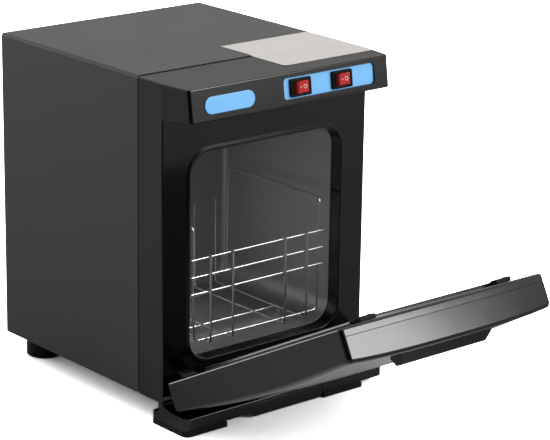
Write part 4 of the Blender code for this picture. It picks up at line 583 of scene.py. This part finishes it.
edge = 1.4
rows = [header_ring(0.0, edge + 0.5, 0.0)]
rows += [header_ring(0.0, inset, depth) for inset, depth in reversed(rounding(edge))]
rows += [header_ring(1.0, inset, -depth) for inset, depth in rounding(edge)]
rows += [header_ring(1.0, edge + 0.5, 0.0)]
recess = loop(-10.3, 103.3, -9.95, 10.75, 4.0, 6)
cutter = surface("recess", [on_header([level(recess, -2.6), level(recess, 4.0)])])
shown("front_header", carved(surface("front_header", [rows]), cutter), gloss, "cabinet",
      ["front_frame"])


# ---------------------------------------------------------------- switch plate and label
# A thin printed plate lies glued in the recess round two rocker switches, and a pill-shaped
# label in the same blue is stuck on at the left. Nothing is printed on either.

def blue_print(place):
    """Light blue screen print under a clear coat: even, with the grain of the film."""
    film = place.cloud(700.0, 3.0)
    fade = place.cloud(25.0, 2.0)
    return {"Base_Color": (film * 0.4 + fade * 0.6).mix((0.166, 0.530, 0.985),
                                                        (0.184, 0.550, 1.0)),
            "Roughness": 0.26 + film * 0.06,
            "Normal": film.bump(0.02, 0.0001)}


blue = finish("light_blue_print", blue_print, Coat_Weight=0.3, Coat_Roughness=0.1)


def slab(ring, low, high, edge):
    """Rows of a plate that follows a loop from low to high: its lower edge is barely broken
    and its upper edge is a quarter round."""
    rows = [level(shrink(ring, inset), low + depth) for inset, depth in reversed(rounding(0.1, 2))]
    rows += [level(shrink(ring, inset), high - depth) for inset, depth in rounding(edge, 4)]
    return rows + [level(shrink(ring, edge + 0.3), high)]


switches = (("uv", 10.3), ("power", 61.7))
plate = slab(loop(-10.0, 103.0, -9.65, 10.45, 4.0, 6), -2.5, -2.0, 0.15)
holes = [on_header([level(loop(x - 11.1, x + 11.1, -7.1, 7.9, 0.3, 2), depth)
                    for depth in (-4.0, 1.0)]) for word, x in switches]
shown("switch_plate",
      carved(surface("switch_plate", [on_header(plate)]), surface("holes", holes)), blue,
      "cabinet", ["control_plate"])
pill = slab(loop(-104.65, -46.15, -9.1, 6.9, 7.96, 14), 0.3, 1.3, 0.5)
shown("pill_badge", surface("pill_badge", [on_header(pill)]), blue, "cabinet",
      ["pill_label"])


# ---------------------------------------------------------------- rocker switches
# Two snap-in switches: a black nylon housing with a proud bezel and a deep well, and in it
# a clear red rocker that carries an on and an off mark and is pressed at its right end.

def bezel_rows(x):
    """Housing round x: up its body behind the plate, out under the bezel, over the bezel's
    rounded rim and down the well."""
    bezel = loop(x - 12.5, x + 12.5, -8.1, 8.9, 1.5, 6)
    well = loop(x - 9.7, x + 9.7, -5.6, 6.4, 0.5, 6)
    body = loop(x - 10.8, x + 10.8, -6.8, 7.6, 0.4, 6)
    under, proud = -1.9, 0.9
    rows = [level(body, -18.0), level(body, under), level(bezel, under)]
    rows += [level(shrink(bezel, inset), proud - depth) for inset, depth in rounding(0.7, 5)]
    rows += [level(shrink(well, -inset), proud - depth)
             for inset, depth in reversed(rounding(0.5, 4))]
    return on_header(rows + [level(well, -11.0)])


tilt = math.radians(12)
rocker_across = np.array((math.cos(tilt), 0.0, -math.sin(tilt)))
rocker_out = np.array((math.sin(tilt), 0.0, math.cos(tilt)))


def rocker_point(x, rows):
    """(a, b, c) of a rocker: a toward its right end, b up, c outward from its pivot."""
    rows = np.asarray(rows)
    pivot = np.array((x, 0.4, -0.6))
    return on_header(pivot + rows[..., :1] * rocker_across
                     + rows[..., 1:2] * np.array((0, 1.0, 0)) + rows[..., 2:] * rocker_out)


def rocker_rows(x):
    """Rocker drawn along b with both ends rounded. The top of its section is hollow: 1.6
    above the pivot at the middle, and higher by 1.9 times the square of the distance over
    8.6. Its two sides are arcs round the pivot."""
    top = np.linspace(8.35, -8.35, 21)
    hollow = np.stack([top, 1.6 + 1.9 * (top / 8.6) ** 2], 1)
    heel = np.radians(np.linspace(180 - 20, 180 + 28, 7))
    left = 9.3 * np.stack([np.cos(heel), np.sin(heel)], 1)
    section = np.concatenate([hollow, left, (left * (-1, 1))[::-1]])
    half, edge = 5.7, rounding(0.5, 4)
    rows = [np.insert(shrink(section, inset), 1, depth - half, axis=1)
            for inset, depth in reversed(edge)]
    rows += [np.insert(shrink(section, inset), 1, half - depth, axis=1)
             for inset, depth in edge]
    return rocker_point(x, rows)


def rocker_red(x):
    """Clear red rocker with painted shade that darkens its left third, a white bar at the left of
    its middle and a white ring at the right."""
    centre = rocker_point(x, np.zeros((1, 3)))[0] * 0.001 + seam_foot
    u_axis = on_header(rocker_across) - on_header(np.zeros(3))
    v_axis = np.array((0.0, 0.12597, 0.99203))

    def recipe(place):
        """Sockets from u and v, the distances in metres to the right and up."""
        u = place.along(tuple(u_axis)) - float(centre @ u_axis)
        v = place.along(tuple(v_axis)) - float(centre @ v_axis)
        bar = (abs(u + 0.0010) < 0.0012) * (abs(v) < 0.00035)
        from_ring = ((u - 0.0046) ** 2.0 + v ** 2.0) ** 0.5
        mark = bar.larger(abs(from_ring - 0.0017) < 0.00028)
        depth = place.cloud(160.0, 2.0)
        # Painted shade: the red darkens toward the rocker's left end, laid over its cloudy depth.
        red = (depth * 0.3 + u.ramp(-0.0085, -0.0010, 0.0, 0.7)).mix((0.10, 0.002, 0.002),
                                                                     (0.52, 0.012, 0.009))
        return {"Base_Color": (mark * 0.8).mix(red, (0.88, 0.80, 0.78)),
                "Roughness": 0.12 + mark * 0.3,
                "Normal": depth.bump(0.04, 0.001)}
    return recipe


def dull_nylon(place):
    """Black nylon with the faint grain of its mould."""
    grain = place.cloud(1200.0, 3.0)
    return {"Base_Color": grain.mix((0.001, 0.001, 0.0015), (0.003, 0.003, 0.004)),
            "Roughness": 0.42 + grain * 0.15,
            "Normal": grain.bump(0.06, 0.0001)}


nylon = finish("black_nylon", dull_nylon, Specular_IOR_Level=0.12)
for word, x in switches:
    shown(word + "_bezel", surface(word + "_bezel", [bezel_rows(x)]), nylon, "cabinet",
          [word + "_switch_body"])
    shown(word + "_red_rocker", surface(word + "_red_rocker", [rocker_rows(x)]),
          finish(word + "_rocker_red", rocker_red(x), Specular_IOR_Level=0.4),
          word + "_switch_rocker", [word + "_rocker"])


# ---------------------------------------------------------------- sheet on the top
# Blank vinyl stuck across the seam between case and header; it bridges the step, and its
# front corner at the left has begun to lift.

def vinyl_grid():
    """Sheet over the shares a to the right and b to the front. Its height is the case's,
    less the header's step through an S curve and the header's slope, with faint waves as
    the product of two sines and a corner that lifts with the square of b."""
    a = np.linspace(0.0, 1.0, 41)[None]
    b = np.linspace(0.0, 1.0, 61)[:, None]
    x = 10.0 + 111.5 * a + 0 * b
    y = 46.8 - 95.2 * b + 0 * a
    step = np.clip((2.6 - y) / 4.4, 0, 1)
    step = step ** 2 * (3 - 2 * step)
    wave = 0.05 * np.sin(0.31 * x + 0.17 * y) * np.sin(0.23 * y)
    lift = 0.35 * np.clip((b - 0.94) / 0.06, 0, 1) ** 2 * np.clip((0.06 - a) / 0.06, 0, 1)
    z = (case_height + 0.3 - header_step * step + np.minimum(y, 0.0) * header_top_slope
         + np.maximum(wave, 0) + lift)
    return np.stack([x, y, z], -1)


def vinyl(place):
    """Pale warm grey film: soft blotches under a fine fibre."""
    fibre = place.cloud(1400.0, 3.0)
    blotch = place.cloud(30.0, 2.0)
    return {"Base_Color": blotch.mix((0.60, 0.565, 0.53), (0.68, 0.64, 0.60)),
            "Roughness": 0.42 + fibre * 0.15,
            "Normal": fibre.bump(0.08, 0.0001)}


shown("top_vinyl", surface("top_vinyl", [vinyl_grid()], around=False, ends=False),
      finish("pale_vinyl", vinyl), "cabinet", ["top_sticker"], sheet=0.25)


# ---------------------------------------------------------------- base, feet and drip tray
# The gloss base moulding carries the front on two rubber feet, and two turned rubber feet
# stand under the back. The drip tray slides in the moulding on two plated rails, and the
# rubber bush in the back plate is the cord's way out.

def rubber(place):
    """Dull black rubber with a grey bloom and fine specks."""
    speck = place.cloud(1500.0, 4.0)
    bloom = place.cloud(60.0, 3.0)
    return {"Base_Color": (bloom * 0.5 + speck * 0.2).mix((0.002, 0.002, 0.002),
                                                          (0.008, 0.008, 0.0084)),
            "Roughness": 0.50 + bloom * 0.2,
            "Normal": speck.bump(0.25, 0.0002)}


black_rubber = finish("black_rubber", rubber, Specular_IOR_Level=0.2)
softened("front_base", "base_moulding", 0.7, gloss, "cabinet")
for side in ("left", "right"):
    softened("front_foot_" + side, "front_pad_" + side, 0.6, black_rubber, "cabinet")
    softened("rear_foot_" + side, "rear_pad_" + side, 0.5, black_rubber, "cabinet",
             45)
    softened("tray_rail_" + side, "tray_runner_" + side, 0.2, plated, "cabinet")
softened("drip_tray", "drip_drawer", 0.4, gloss, "tray")
softened("cord_gland", "cord_bush", 0.4, black_rubber, "cabinet", 45)


# ---------------------------------------------------------------- chamber
# The liner is a deep-drawn tub of brushed aluminium sheet, 1 mm thick, with a rolled flange
# that is held behind the frame's mouth.

def brushed(place):
    """Aluminium sheet with fine brushing drawn out from front to back."""
    grain = place.stretch(60.0, 0.6, 60.0).cloud(60.0, 4.0, 0.7)
    haze = place.cloud(18.0, 3.0)
    return {"Base_Color": (grain * 0.5 + haze * 0.5).mix((0.55, 0.55, 0.56),
                                                         (0.72, 0.72, 0.73)),
            "Roughness": 0.38 + haze * 0.16,
            "Normal": grain.bump(0.10, 0.0002)}


aluminium = finish("brushed_aluminium", brushed, Metallic=0.9)


def tub(inset, depth):
    """The mouth's loop, moved inward by inset, at one depth."""
    return level(loop(-mouth_half + inset, mouth_half - inset, mouth_low + inset,
                      mouth_high - inset, mouth_corner - inset), depth)


# Up the inside from the closed end, out over the flange and back down the outside.
turn = np.linspace(np.pi / 2, 0, 7)
draw, sheet, tub_end = 6.0, 1.0, -136.0
rows = [tub(draw * (1 - math.cos(t)), tub_end - draw * math.sin(t)) for t in turn]
rows += [tub(0.0, depth) for depth in (-100.0, -60.0, -20.0, 20.0, 21.9)]
rows += [tub(-0.3, 22.4), tub(-1.0, 22.5), tub(-6.0, 22.5), tub(-6.0, 21.5), tub(-1.0, 21.5)]
rows += [tub((draw + sheet) * (1 - math.cos(t)) - sheet, tub_end - (draw + sheet) * math.sin(t))
         for t in turn[::-1]]
shown("chamber_tub", surface("chamber_tub", [facing_front(rows)]), aluminium, "cabinet",
      ["chamber_liner"])


# ---------------------------------------------------------------- door shell
# The outer half of a thick hollow door, moulded in the frame's gloss black: its outer face
# is pillowed and its edges are round. It hangs on two pins and is notched for their
# brackets.

door_half, door_length, door_corner = 124.2, 270.7, 4.5
outline_s = np.array((0, 14.0, 37.9, 73.9, 109.1, 140.0, 165.1, 201.9, 237.9, 256.1, 270.7))
outline_t = np.array((30.6, 31.0, 32.4, 34.7, 36.2, 36.8, 37.0, 35.6, 33.6, 32.7, 32.0))


def on_door(rows):
    """(x, s, t) of the door: s from its hinge end to its free end, t from its inner to its
    outer face. The pins stand at s 10.5 and t 14.4."""
    rows = np.asarray(rows, float)
    pins = np.array((0.0, -56.7, 13.8))
    s_axis, t_axis = np.array((0, -0.89101, 0.45399)), np.array((0, -0.45399, -0.89101))
    return (pins + rows[..., :1] * np.array((1.0, 0, 0)) + (rows[..., 1:2] - 10.5) * s_axis
            + (rows[..., 2:] - 14.4) * t_axis)


def shell_row(x, inset):
    """Section (s, t) of the shell at x: up from the rim at the seam, along the outer face
    and down the free end. The face is the smoothed outline plus a pillow, which rises with
    a sine over the first 110 mm, and sinks toward the sides with the cube of x over the
    half width."""
    corner, swell = door_corner, 110.0
    s = np.linspace(corner, door_length - corner, 49)
    pillow = np.where(s < swell, 0.8 + 4.0 * np.sin(np.pi / 2 * s / swell),
                      4.8 - (s - swell) / (door_length - swell))
    t = np.interp(s, outline_s, outline_t)
    t = np.convolve(np.pad(t, 3, mode="reflect", reflect_type="odd"), np.ones(7) / 7,
                    "valid")
    t = t + pillow * (1 - abs(x / door_half) ** 3)
    turn = np.linspace(0, np.pi / 2, 8)[:-1]
    rim_up = np.array(((0.35, 8.75), (0.08, 8.85), (0.0, 9.2), (0.0, 18.0)))
    first = np.stack([corner - corner * np.cos(turn),
                      t[0] - corner + corner * np.sin(turn)], 1)
    last = np.stack([door_length - corner + corner * np.cos(turn),
                     t[-1] - corner + corner * np.sin(turn)], 1)[::-1]
    rim_down = rim_up[::-1] * (-1, 1) + (door_length, 0)
    outer = np.concatenate([rim_up, first, np.stack([s, t], 1), last, rim_down])
    middle = door_length / 2
    toward_middle = np.clip((middle - outer[:, 0]) / (middle - corner), -1, 1)
    above_rim = np.clip((outer[:, 1] - 9.4) / 12.0, 0, 1)
    return np.stack([np.full(len(outer), x), outer[:, 0] + toward_middle * inset,
                     outer[:, 1] - above_rim * inset], 1)


def notched(name, rows):
    """A part of the door with the brackets' two notches cut out of its hinge end."""
    notches = [on_door([level(loop(left, right, -6.0, 21.5, 0.4, 2), t) for t in (-9.0, 25.4)])
               for left, right in ((-103.5, -85.5), (85.5, 103.5))]
    return carved(surface(name, [on_door(rows)]), surface("notches", notches))


# Sections from side to side, whose inset follows a quarter circle over each side's corner.
turn = np.linspace(0, np.pi / 2, 9)
flat = door_half - door_corner
side_steps = [(x, 0.0) for x in np.linspace(0, flat - 0.5, 14)]
side_steps += [(flat + door_corner * math.sin(t), door_corner * (1 - math.cos(t)))
               for t in turn]
rows = [shell_row(-x, inset) for x, inset in reversed(side_steps[1:])]
rows += [shell_row(x, inset) for x, inset in side_steps]
shown("door_shell", notched("door_shell", rows), gloss, "door", ["door_outer_shell"])


# ---------------------------------------------------------------- door panel and plate
# The inner half of the door is a gloss black moulding with a raised middle; its tongue
# seats in the shell and leaves a fine seam. A plate of black painted sheet is pressed on
# the raised middle.

def panel_ring(inset, depth):
    """Outline of the door, moved inward by inset, at one depth."""
    return level(shrink(loop(-door_half, door_half, 0, door_length, door_corner), inset),
                 depth)


tongue = ((0.7, 12.0), (0.7, 8.6), (0.65, 8.5), (0.3, 8.5), (0.08, 8.4), (0.0, 8.2))
raised = ((-0.9, 0.0), (-0.4, 0.0), (-0.1, -0.12), (0.0, -0.4), (0.0, -2.1), (0.12, -2.38),
          (0.4, -2.5), (0.8, -2.5))
plateau = loop(-91.0, 91.0, 26.0, 252.6, 6.0)
rows = [panel_ring(inset, depth) for inset, depth in tongue]
rows += [panel_ring(inset, depth) for inset, depth in rounding(3.2, 7)]
rows += [panel_ring(4.0, 0.0)]
rows += [level(shrink(plateau, inset), depth) for inset, depth in raised]
shown("door_panel", notched("door_panel", rows), gloss, "door", ["door_inner_panel"])

rows = np.asarray(slab(loop(-90.7, 90.7, 26.3, 252.3, 6.0), 2.8, 3.8, 0.25)) * (1, 1, -1)
shown("door_plate", surface("door_plate", [on_door(rows)]), coat, "door",
      ["door_liner_plate"])


# ---------------------------------------------------------------- door gasket
# One length of extruded rubber glued round the raised middle on its two sides and its
# hinge end: a low bead with a wet shine.

def sealing_rubber(place):
    """Smooth extruded rubber with faint draw lines."""
    drawn = place.cloud(900.0, 3.0)
    return {"Base_Color": drawn.mix((0.004, 0.004, 0.004), (0.012, 0.012, 0.012)),
            "Roughness": 0.20 + drawn * 0.08,
            "Normal": drawn.bump(0.04, 0.0001)}


# The bead's section is carried along the path, square to it in plan.
quarter = np.linspace(0, np.pi / 2, 8)
bend, gasket_half, gasket_low, gasket_high = 4.5, 95.6, 23.6, 252.6
bend_path = np.stack([bend - gasket_half - bend * np.cos(quarter),
                      gasket_low + bend - bend * np.sin(quarter)], 1)
half_path = np.concatenate([[(-gasket_half, gasket_high)], bend_path])
gasket_path = np.concatenate([half_path, half_path[::-1] * (-1, 1)])
ahead = np.gradient(gasket_path, axis=0)
ahead /= np.linalg.norm(ahead, axis=1, keepdims=True)
beside = np.stack([ahead[:, 1], -ahead[:, 0]], 1)
bead = np.array(((2.2, 0.3), (2.2, 1.5), (2.1, 1.7), (1.6, 2.8), (1.35, 3.15), (0.7, 3.45),
                 (-0.7, 3.45), (-1.35, 3.15), (-1.8, 2.5), (-2.2, 1.4), (-2.2, 0.3)))
plan = gasket_path[:, None] + beside[:, None] * bead[None, :, :1]
rows = np.concatenate([plan, np.broadcast_to(-bead[None, :, 1:], (*plan.shape[:2], 1))], -1)
shown("gasket", surface("gasket", [on_door(rows)]), finish("sealing_rubber", sealing_rubber),
      "door", ["door_gasket"])


# ---------------------------------------------------------------- grip, catches and hinges
# A grained black grip is screwed to the shell near its free end. Two nylon blocks carry
# the studs that magnets behind the frame catch, and two painted steel brackets on the case
# hold the door's pins.

def grained(place):
    """Fine spark-eroded grain on the grip."""
    grain = place.cells(1500.0)
    cloud = place.cloud(80.0, 2.0)
    return {"Base_Color": cloud.mix((0.004, 0.004, 0.004), (0.009, 0.009, 0.0095)),
            "Roughness": 0.42 + cloud * 0.15,
            "Normal": grain.bump(0.15, 0.0001)}


def grip_row(t, inset=0.0):
    """Outline (x, s) of the grip at height t. Over the 12.3 mm that it stands out it
    narrows evenly, by 5.8 mm on each side, 12 mm in front and 1.2 mm behind."""
    k = (t - 33.0) / 12.3
    half = 58.5 - 5.8 * k
    ring = loop(-half, half, 241.3 + 1.2 * k, 262.0 - 12.0 * k, 1.8, 5)
    return level(shrink(ring, inset), t)


grip_face = 45.3
rows = [grip_row(t) for t in (27.0, 30.0, 33.0, 37.0, 41.0)]
rows += [grip_row(grip_face - depth, inset) for inset, depth in rounding(1.2, 5)]
rows += [grip_row(grip_face, 1.7)]
shown("grip", surface("grip", [on_door(rows)]),
      finish("grained_black_grip", grained, Specular_IOR_Level=0.2), "door", ["door_handle"])
for side in ("left", "right"):
    softened("catch_block_" + side, "catch_" + side, 0.3, nylon, "door")
    softened("hinge_bracket_" + side, "hinge_ear_" + side, 0.8, coat, "cabinet")


# ---------------------------------------------------------------- basket
# Round chromed wire, welded where it crosses: a bent loop with three front rails, over four
# bent uprights on two legs. It stands loose on the chamber's floor.

def chrome_plate(place):
    """Chrome over drawn wire: bright, with cloudy gloss and fine marks."""
    cloud = place.cloud(350.0, 3.0)
    return {"Base_Color": cloud.mix((0.62, 0.61, 0.60), (0.80, 0.79, 0.78)),
            "Roughness": 0.10 + cloud * 0.12,
            "Normal": place.cloud(2500.0).bump(0.03, 0.0001)}


chromed = finish("chromed_wire", chrome_plate, Metallic=1.0)
wire_radius = 1.1


def bent(points, radius, closed=False):
    """Path through points whose corners are rounded. At a share k of a bend, the path is
    the mean of three points, weighted with the square of 1 - k for the bend's start, twice
    k times 1 - k for the corner and the square of k for the bend's end."""
    points = np.array(points, float)
    before = np.roll(points, 1, 0) - points
    after = np.roll(points, -1, 0) - points
    before /= np.linalg.norm(before, axis=1, keepdims=True)
    after /= np.linalg.norm(after, axis=1, keepdims=True)
    half = np.arccos(np.clip(np.sum(before * after, 1), -1, 1)) / 2
    run = (radius / np.tan(half))[:, None, None]
    k = np.linspace(0, 1, 9)[:, None]
    corner = points[:, None]
    path = ((1 - k) ** 2 * (corner + run * before[:, None]) + 2 * k * (1 - k) * corner
            + k ** 2 * (corner + run * after[:, None]))
    if closed:
        return path.reshape(-1, 3)
    return np.concatenate([points[:1], path[1:-1].reshape(-1, 3), points[-1:]])


def wire(path, closed=False):
    """Rings round a path: each lies square to the path's own direction there, and open
    ends are domed."""
    if closed:
        path = np.concatenate([path, path[:1]])
        step = np.roll(path[:-1], -1, 0) - np.roll(path[:-1], 1, 0)
        step = np.concatenate([step, step[:1]])
    else:
        step = np.gradient(path, axis=0)
    step /= np.linalg.norm(step, axis=1, keepdims=True)
    across = np.cross(step, np.array((0.36, 0.48, 0.80)))
    across /= np.linalg.norm(across, axis=1, keepdims=True)
    third = np.cross(step, across)
    thick = np.ones(len(path))
    if not closed:
        ends = np.array((0.05, 0.5, 0.85, 1.0))
        dome = wire_radius * 0.6 * np.array((0.0, 0.15, 0.5, 1.0))
        first = path[0] + dome[:, None] * step[0]
        last = path[-1] - dome[::-1, None] * step[-1]
        path = np.concatenate([first, path[1:-1], last])
        thick = np.concatenate([ends, np.ones(len(path) - 8), ends[::-1]])
        across, third = (np.concatenate([np.repeat(way[:1], 4, 0), way[1:-1],
                                         np.repeat(way[-1:], 4, 0)])
                         for way in (across, third))
    angle = np.linspace(0, 2 * np.pi, 14, endpoint=False)
    ring = (np.cos(angle)[:, None] * across[:, None]
            + np.sin(angle)[:, None] * third[:, None])
    return path[:, None] + wire_radius * thick[:, None, None] * ring


loop_front, loop_back, loop_top, loop_low = -23.6, 117.0, 163.0, 48.2
corners = [(x, y, z) for y, turned_round in ((loop_front, 1), (loop_back, -1))
           for x, z in ((-79.0, loop_top), (-77.4, loop_low), (77.4, loop_low),
                        (79.0, loop_top))[::turned_round]]
rings = [wire(bent(corners, 6.0, True), True)]
rings += [wire(np.linspace((-82.6, -25.5, z), (82.6, -25.5, z), 9))
          for z in (130.0, 112.7, 95.9)]
shown("basket_loop", surface("basket_loop", rings, ends=False), chromed, "basket",
      ["basket_frame"], crisp=60)

grid_front, grid_back, grid_top, grid_low = -28.0, 114.5, 133.0, 43.5
rings = [wire(bent([(x, grid_front, grid_top), (x, grid_front, grid_low),
                    (x, grid_back, grid_low), (x, grid_back, grid_top)], 6.0))
         for x in (-60.2, -32.8, 32.8, 60.2)]
leg_half, leg_foot, leg_top = 68.0, 34.4, 41.6
rings += [wire(bent([(-leg_half, y, leg_foot), (-leg_half, y, leg_top),
                     (leg_half, y, leg_top), (leg_half, y, leg_foot)], 3.4))
          for y in (24.0, 95.0)]
shown("basket_grid", surface("basket_grid", rings, ends=False), chromed, "basket",
      ["basket_floor"], crisp=60)


# ---------------------------------------------------------------- inside pieces
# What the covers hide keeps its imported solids: heater, insulation, lamp, ballast and
# wiring. Each gets the finish of its kind.

def fibre_wool(place):
    """Yellowish mineral wool in flat-lying fibres."""
    fibre = place.stretch(1.0, 1.0, 5.0).cloud(500.0, 5.0, 0.7)
    return {"Base_Color": fibre.mix((0.42, 0.38, 0.28), (0.66, 0.62, 0.50)),
            "Roughness": 0.95,
            "Normal": fibre.bump(0.6, 0.001)}


def pale_moulding(place):
    """Cream electrical moulding, a little cloudy."""
    cloud = place.cloud(300.0, 3.0)
    return {"Base_Color": cloud.mix((0.62, 0.61, 0.57), (0.74, 0.73, 0.69)),
            "Roughness": 0.35 + cloud * 0.15,
            "Normal": cloud.bump(0.05, 0.0002)}


def mica(place):
    """Brown board of pressed mica flakes."""
    flake = place.cells(900.0)
    return {"Base_Color": flake.mix((0.34, 0.25, 0.13), (0.56, 0.46, 0.28)),
            "Roughness": 0.4 + flake * 0.3,
            "Normal": flake.bump(0.2, 0.0002)}


def frosted(place):
    """Pale lamp glass with a thin haze."""
    haze = place.cloud(120.0, 3.0)
    return {"Base_Color": haze.mix((0.70, 0.73, 0.78), (0.82, 0.84, 0.88)),
            "Roughness": 0.12 + haze * 0.2,
            "Normal": haze.bump(0.02, 0.0002)}


def dark_metal(place):
    """Dark lacquered or sintered metal, uneven in tone."""
    cloud = place.cloud(500.0, 4.0)
    return {"Base_Color": cloud.mix((0.05, 0.05, 0.055), (0.12, 0.12, 0.125)),
            "Roughness": 0.4 + cloud * 0.2,
            "Normal": cloud.bump(0.1, 0.0002)}


def red_cover(place):
    """Red covering of the wires."""
    cloud = place.cloud(700.0, 3.0)
    return {"Base_Color": cloud.mix((0.40, 0.02, 0.015), (0.55, 0.035, 0.03)),
            "Roughness": 0.4 + cloud * 0.15,
            "Normal": cloud.bump(0.05, 0.0001)}


kinds = {"mineral_wool": finish("mineral_wool", fibre_wool),
         "pale_plastic": finish("pale_moulding", pale_moulding),
         "mica_board": finish("mica_board", mica),
         "lamp_glass": finish("frosted_lamp", frosted, Coat_Weight=0.5),
         "dark_magnet": finish("dark_magnet", dark_metal, Metallic=0.7),
         "wound_iron": finish("wound_iron", dark_metal, Metallic=0.5),
         "dark_sensor": finish("dark_sensor", dark_metal),
         "red_insulation": finish("red_insulation", red_cover),
         "bright_steel": plated, "chromed_wire": chromed, "aluminium_sheet": aluminium}
for part in frame["record"]["subparts"]:
    node = nodes[part["node"]]
    if not node.hide_render:
        node.data.materials.clear()
        node.data.materials.append(kinds[part["material_slot"]])
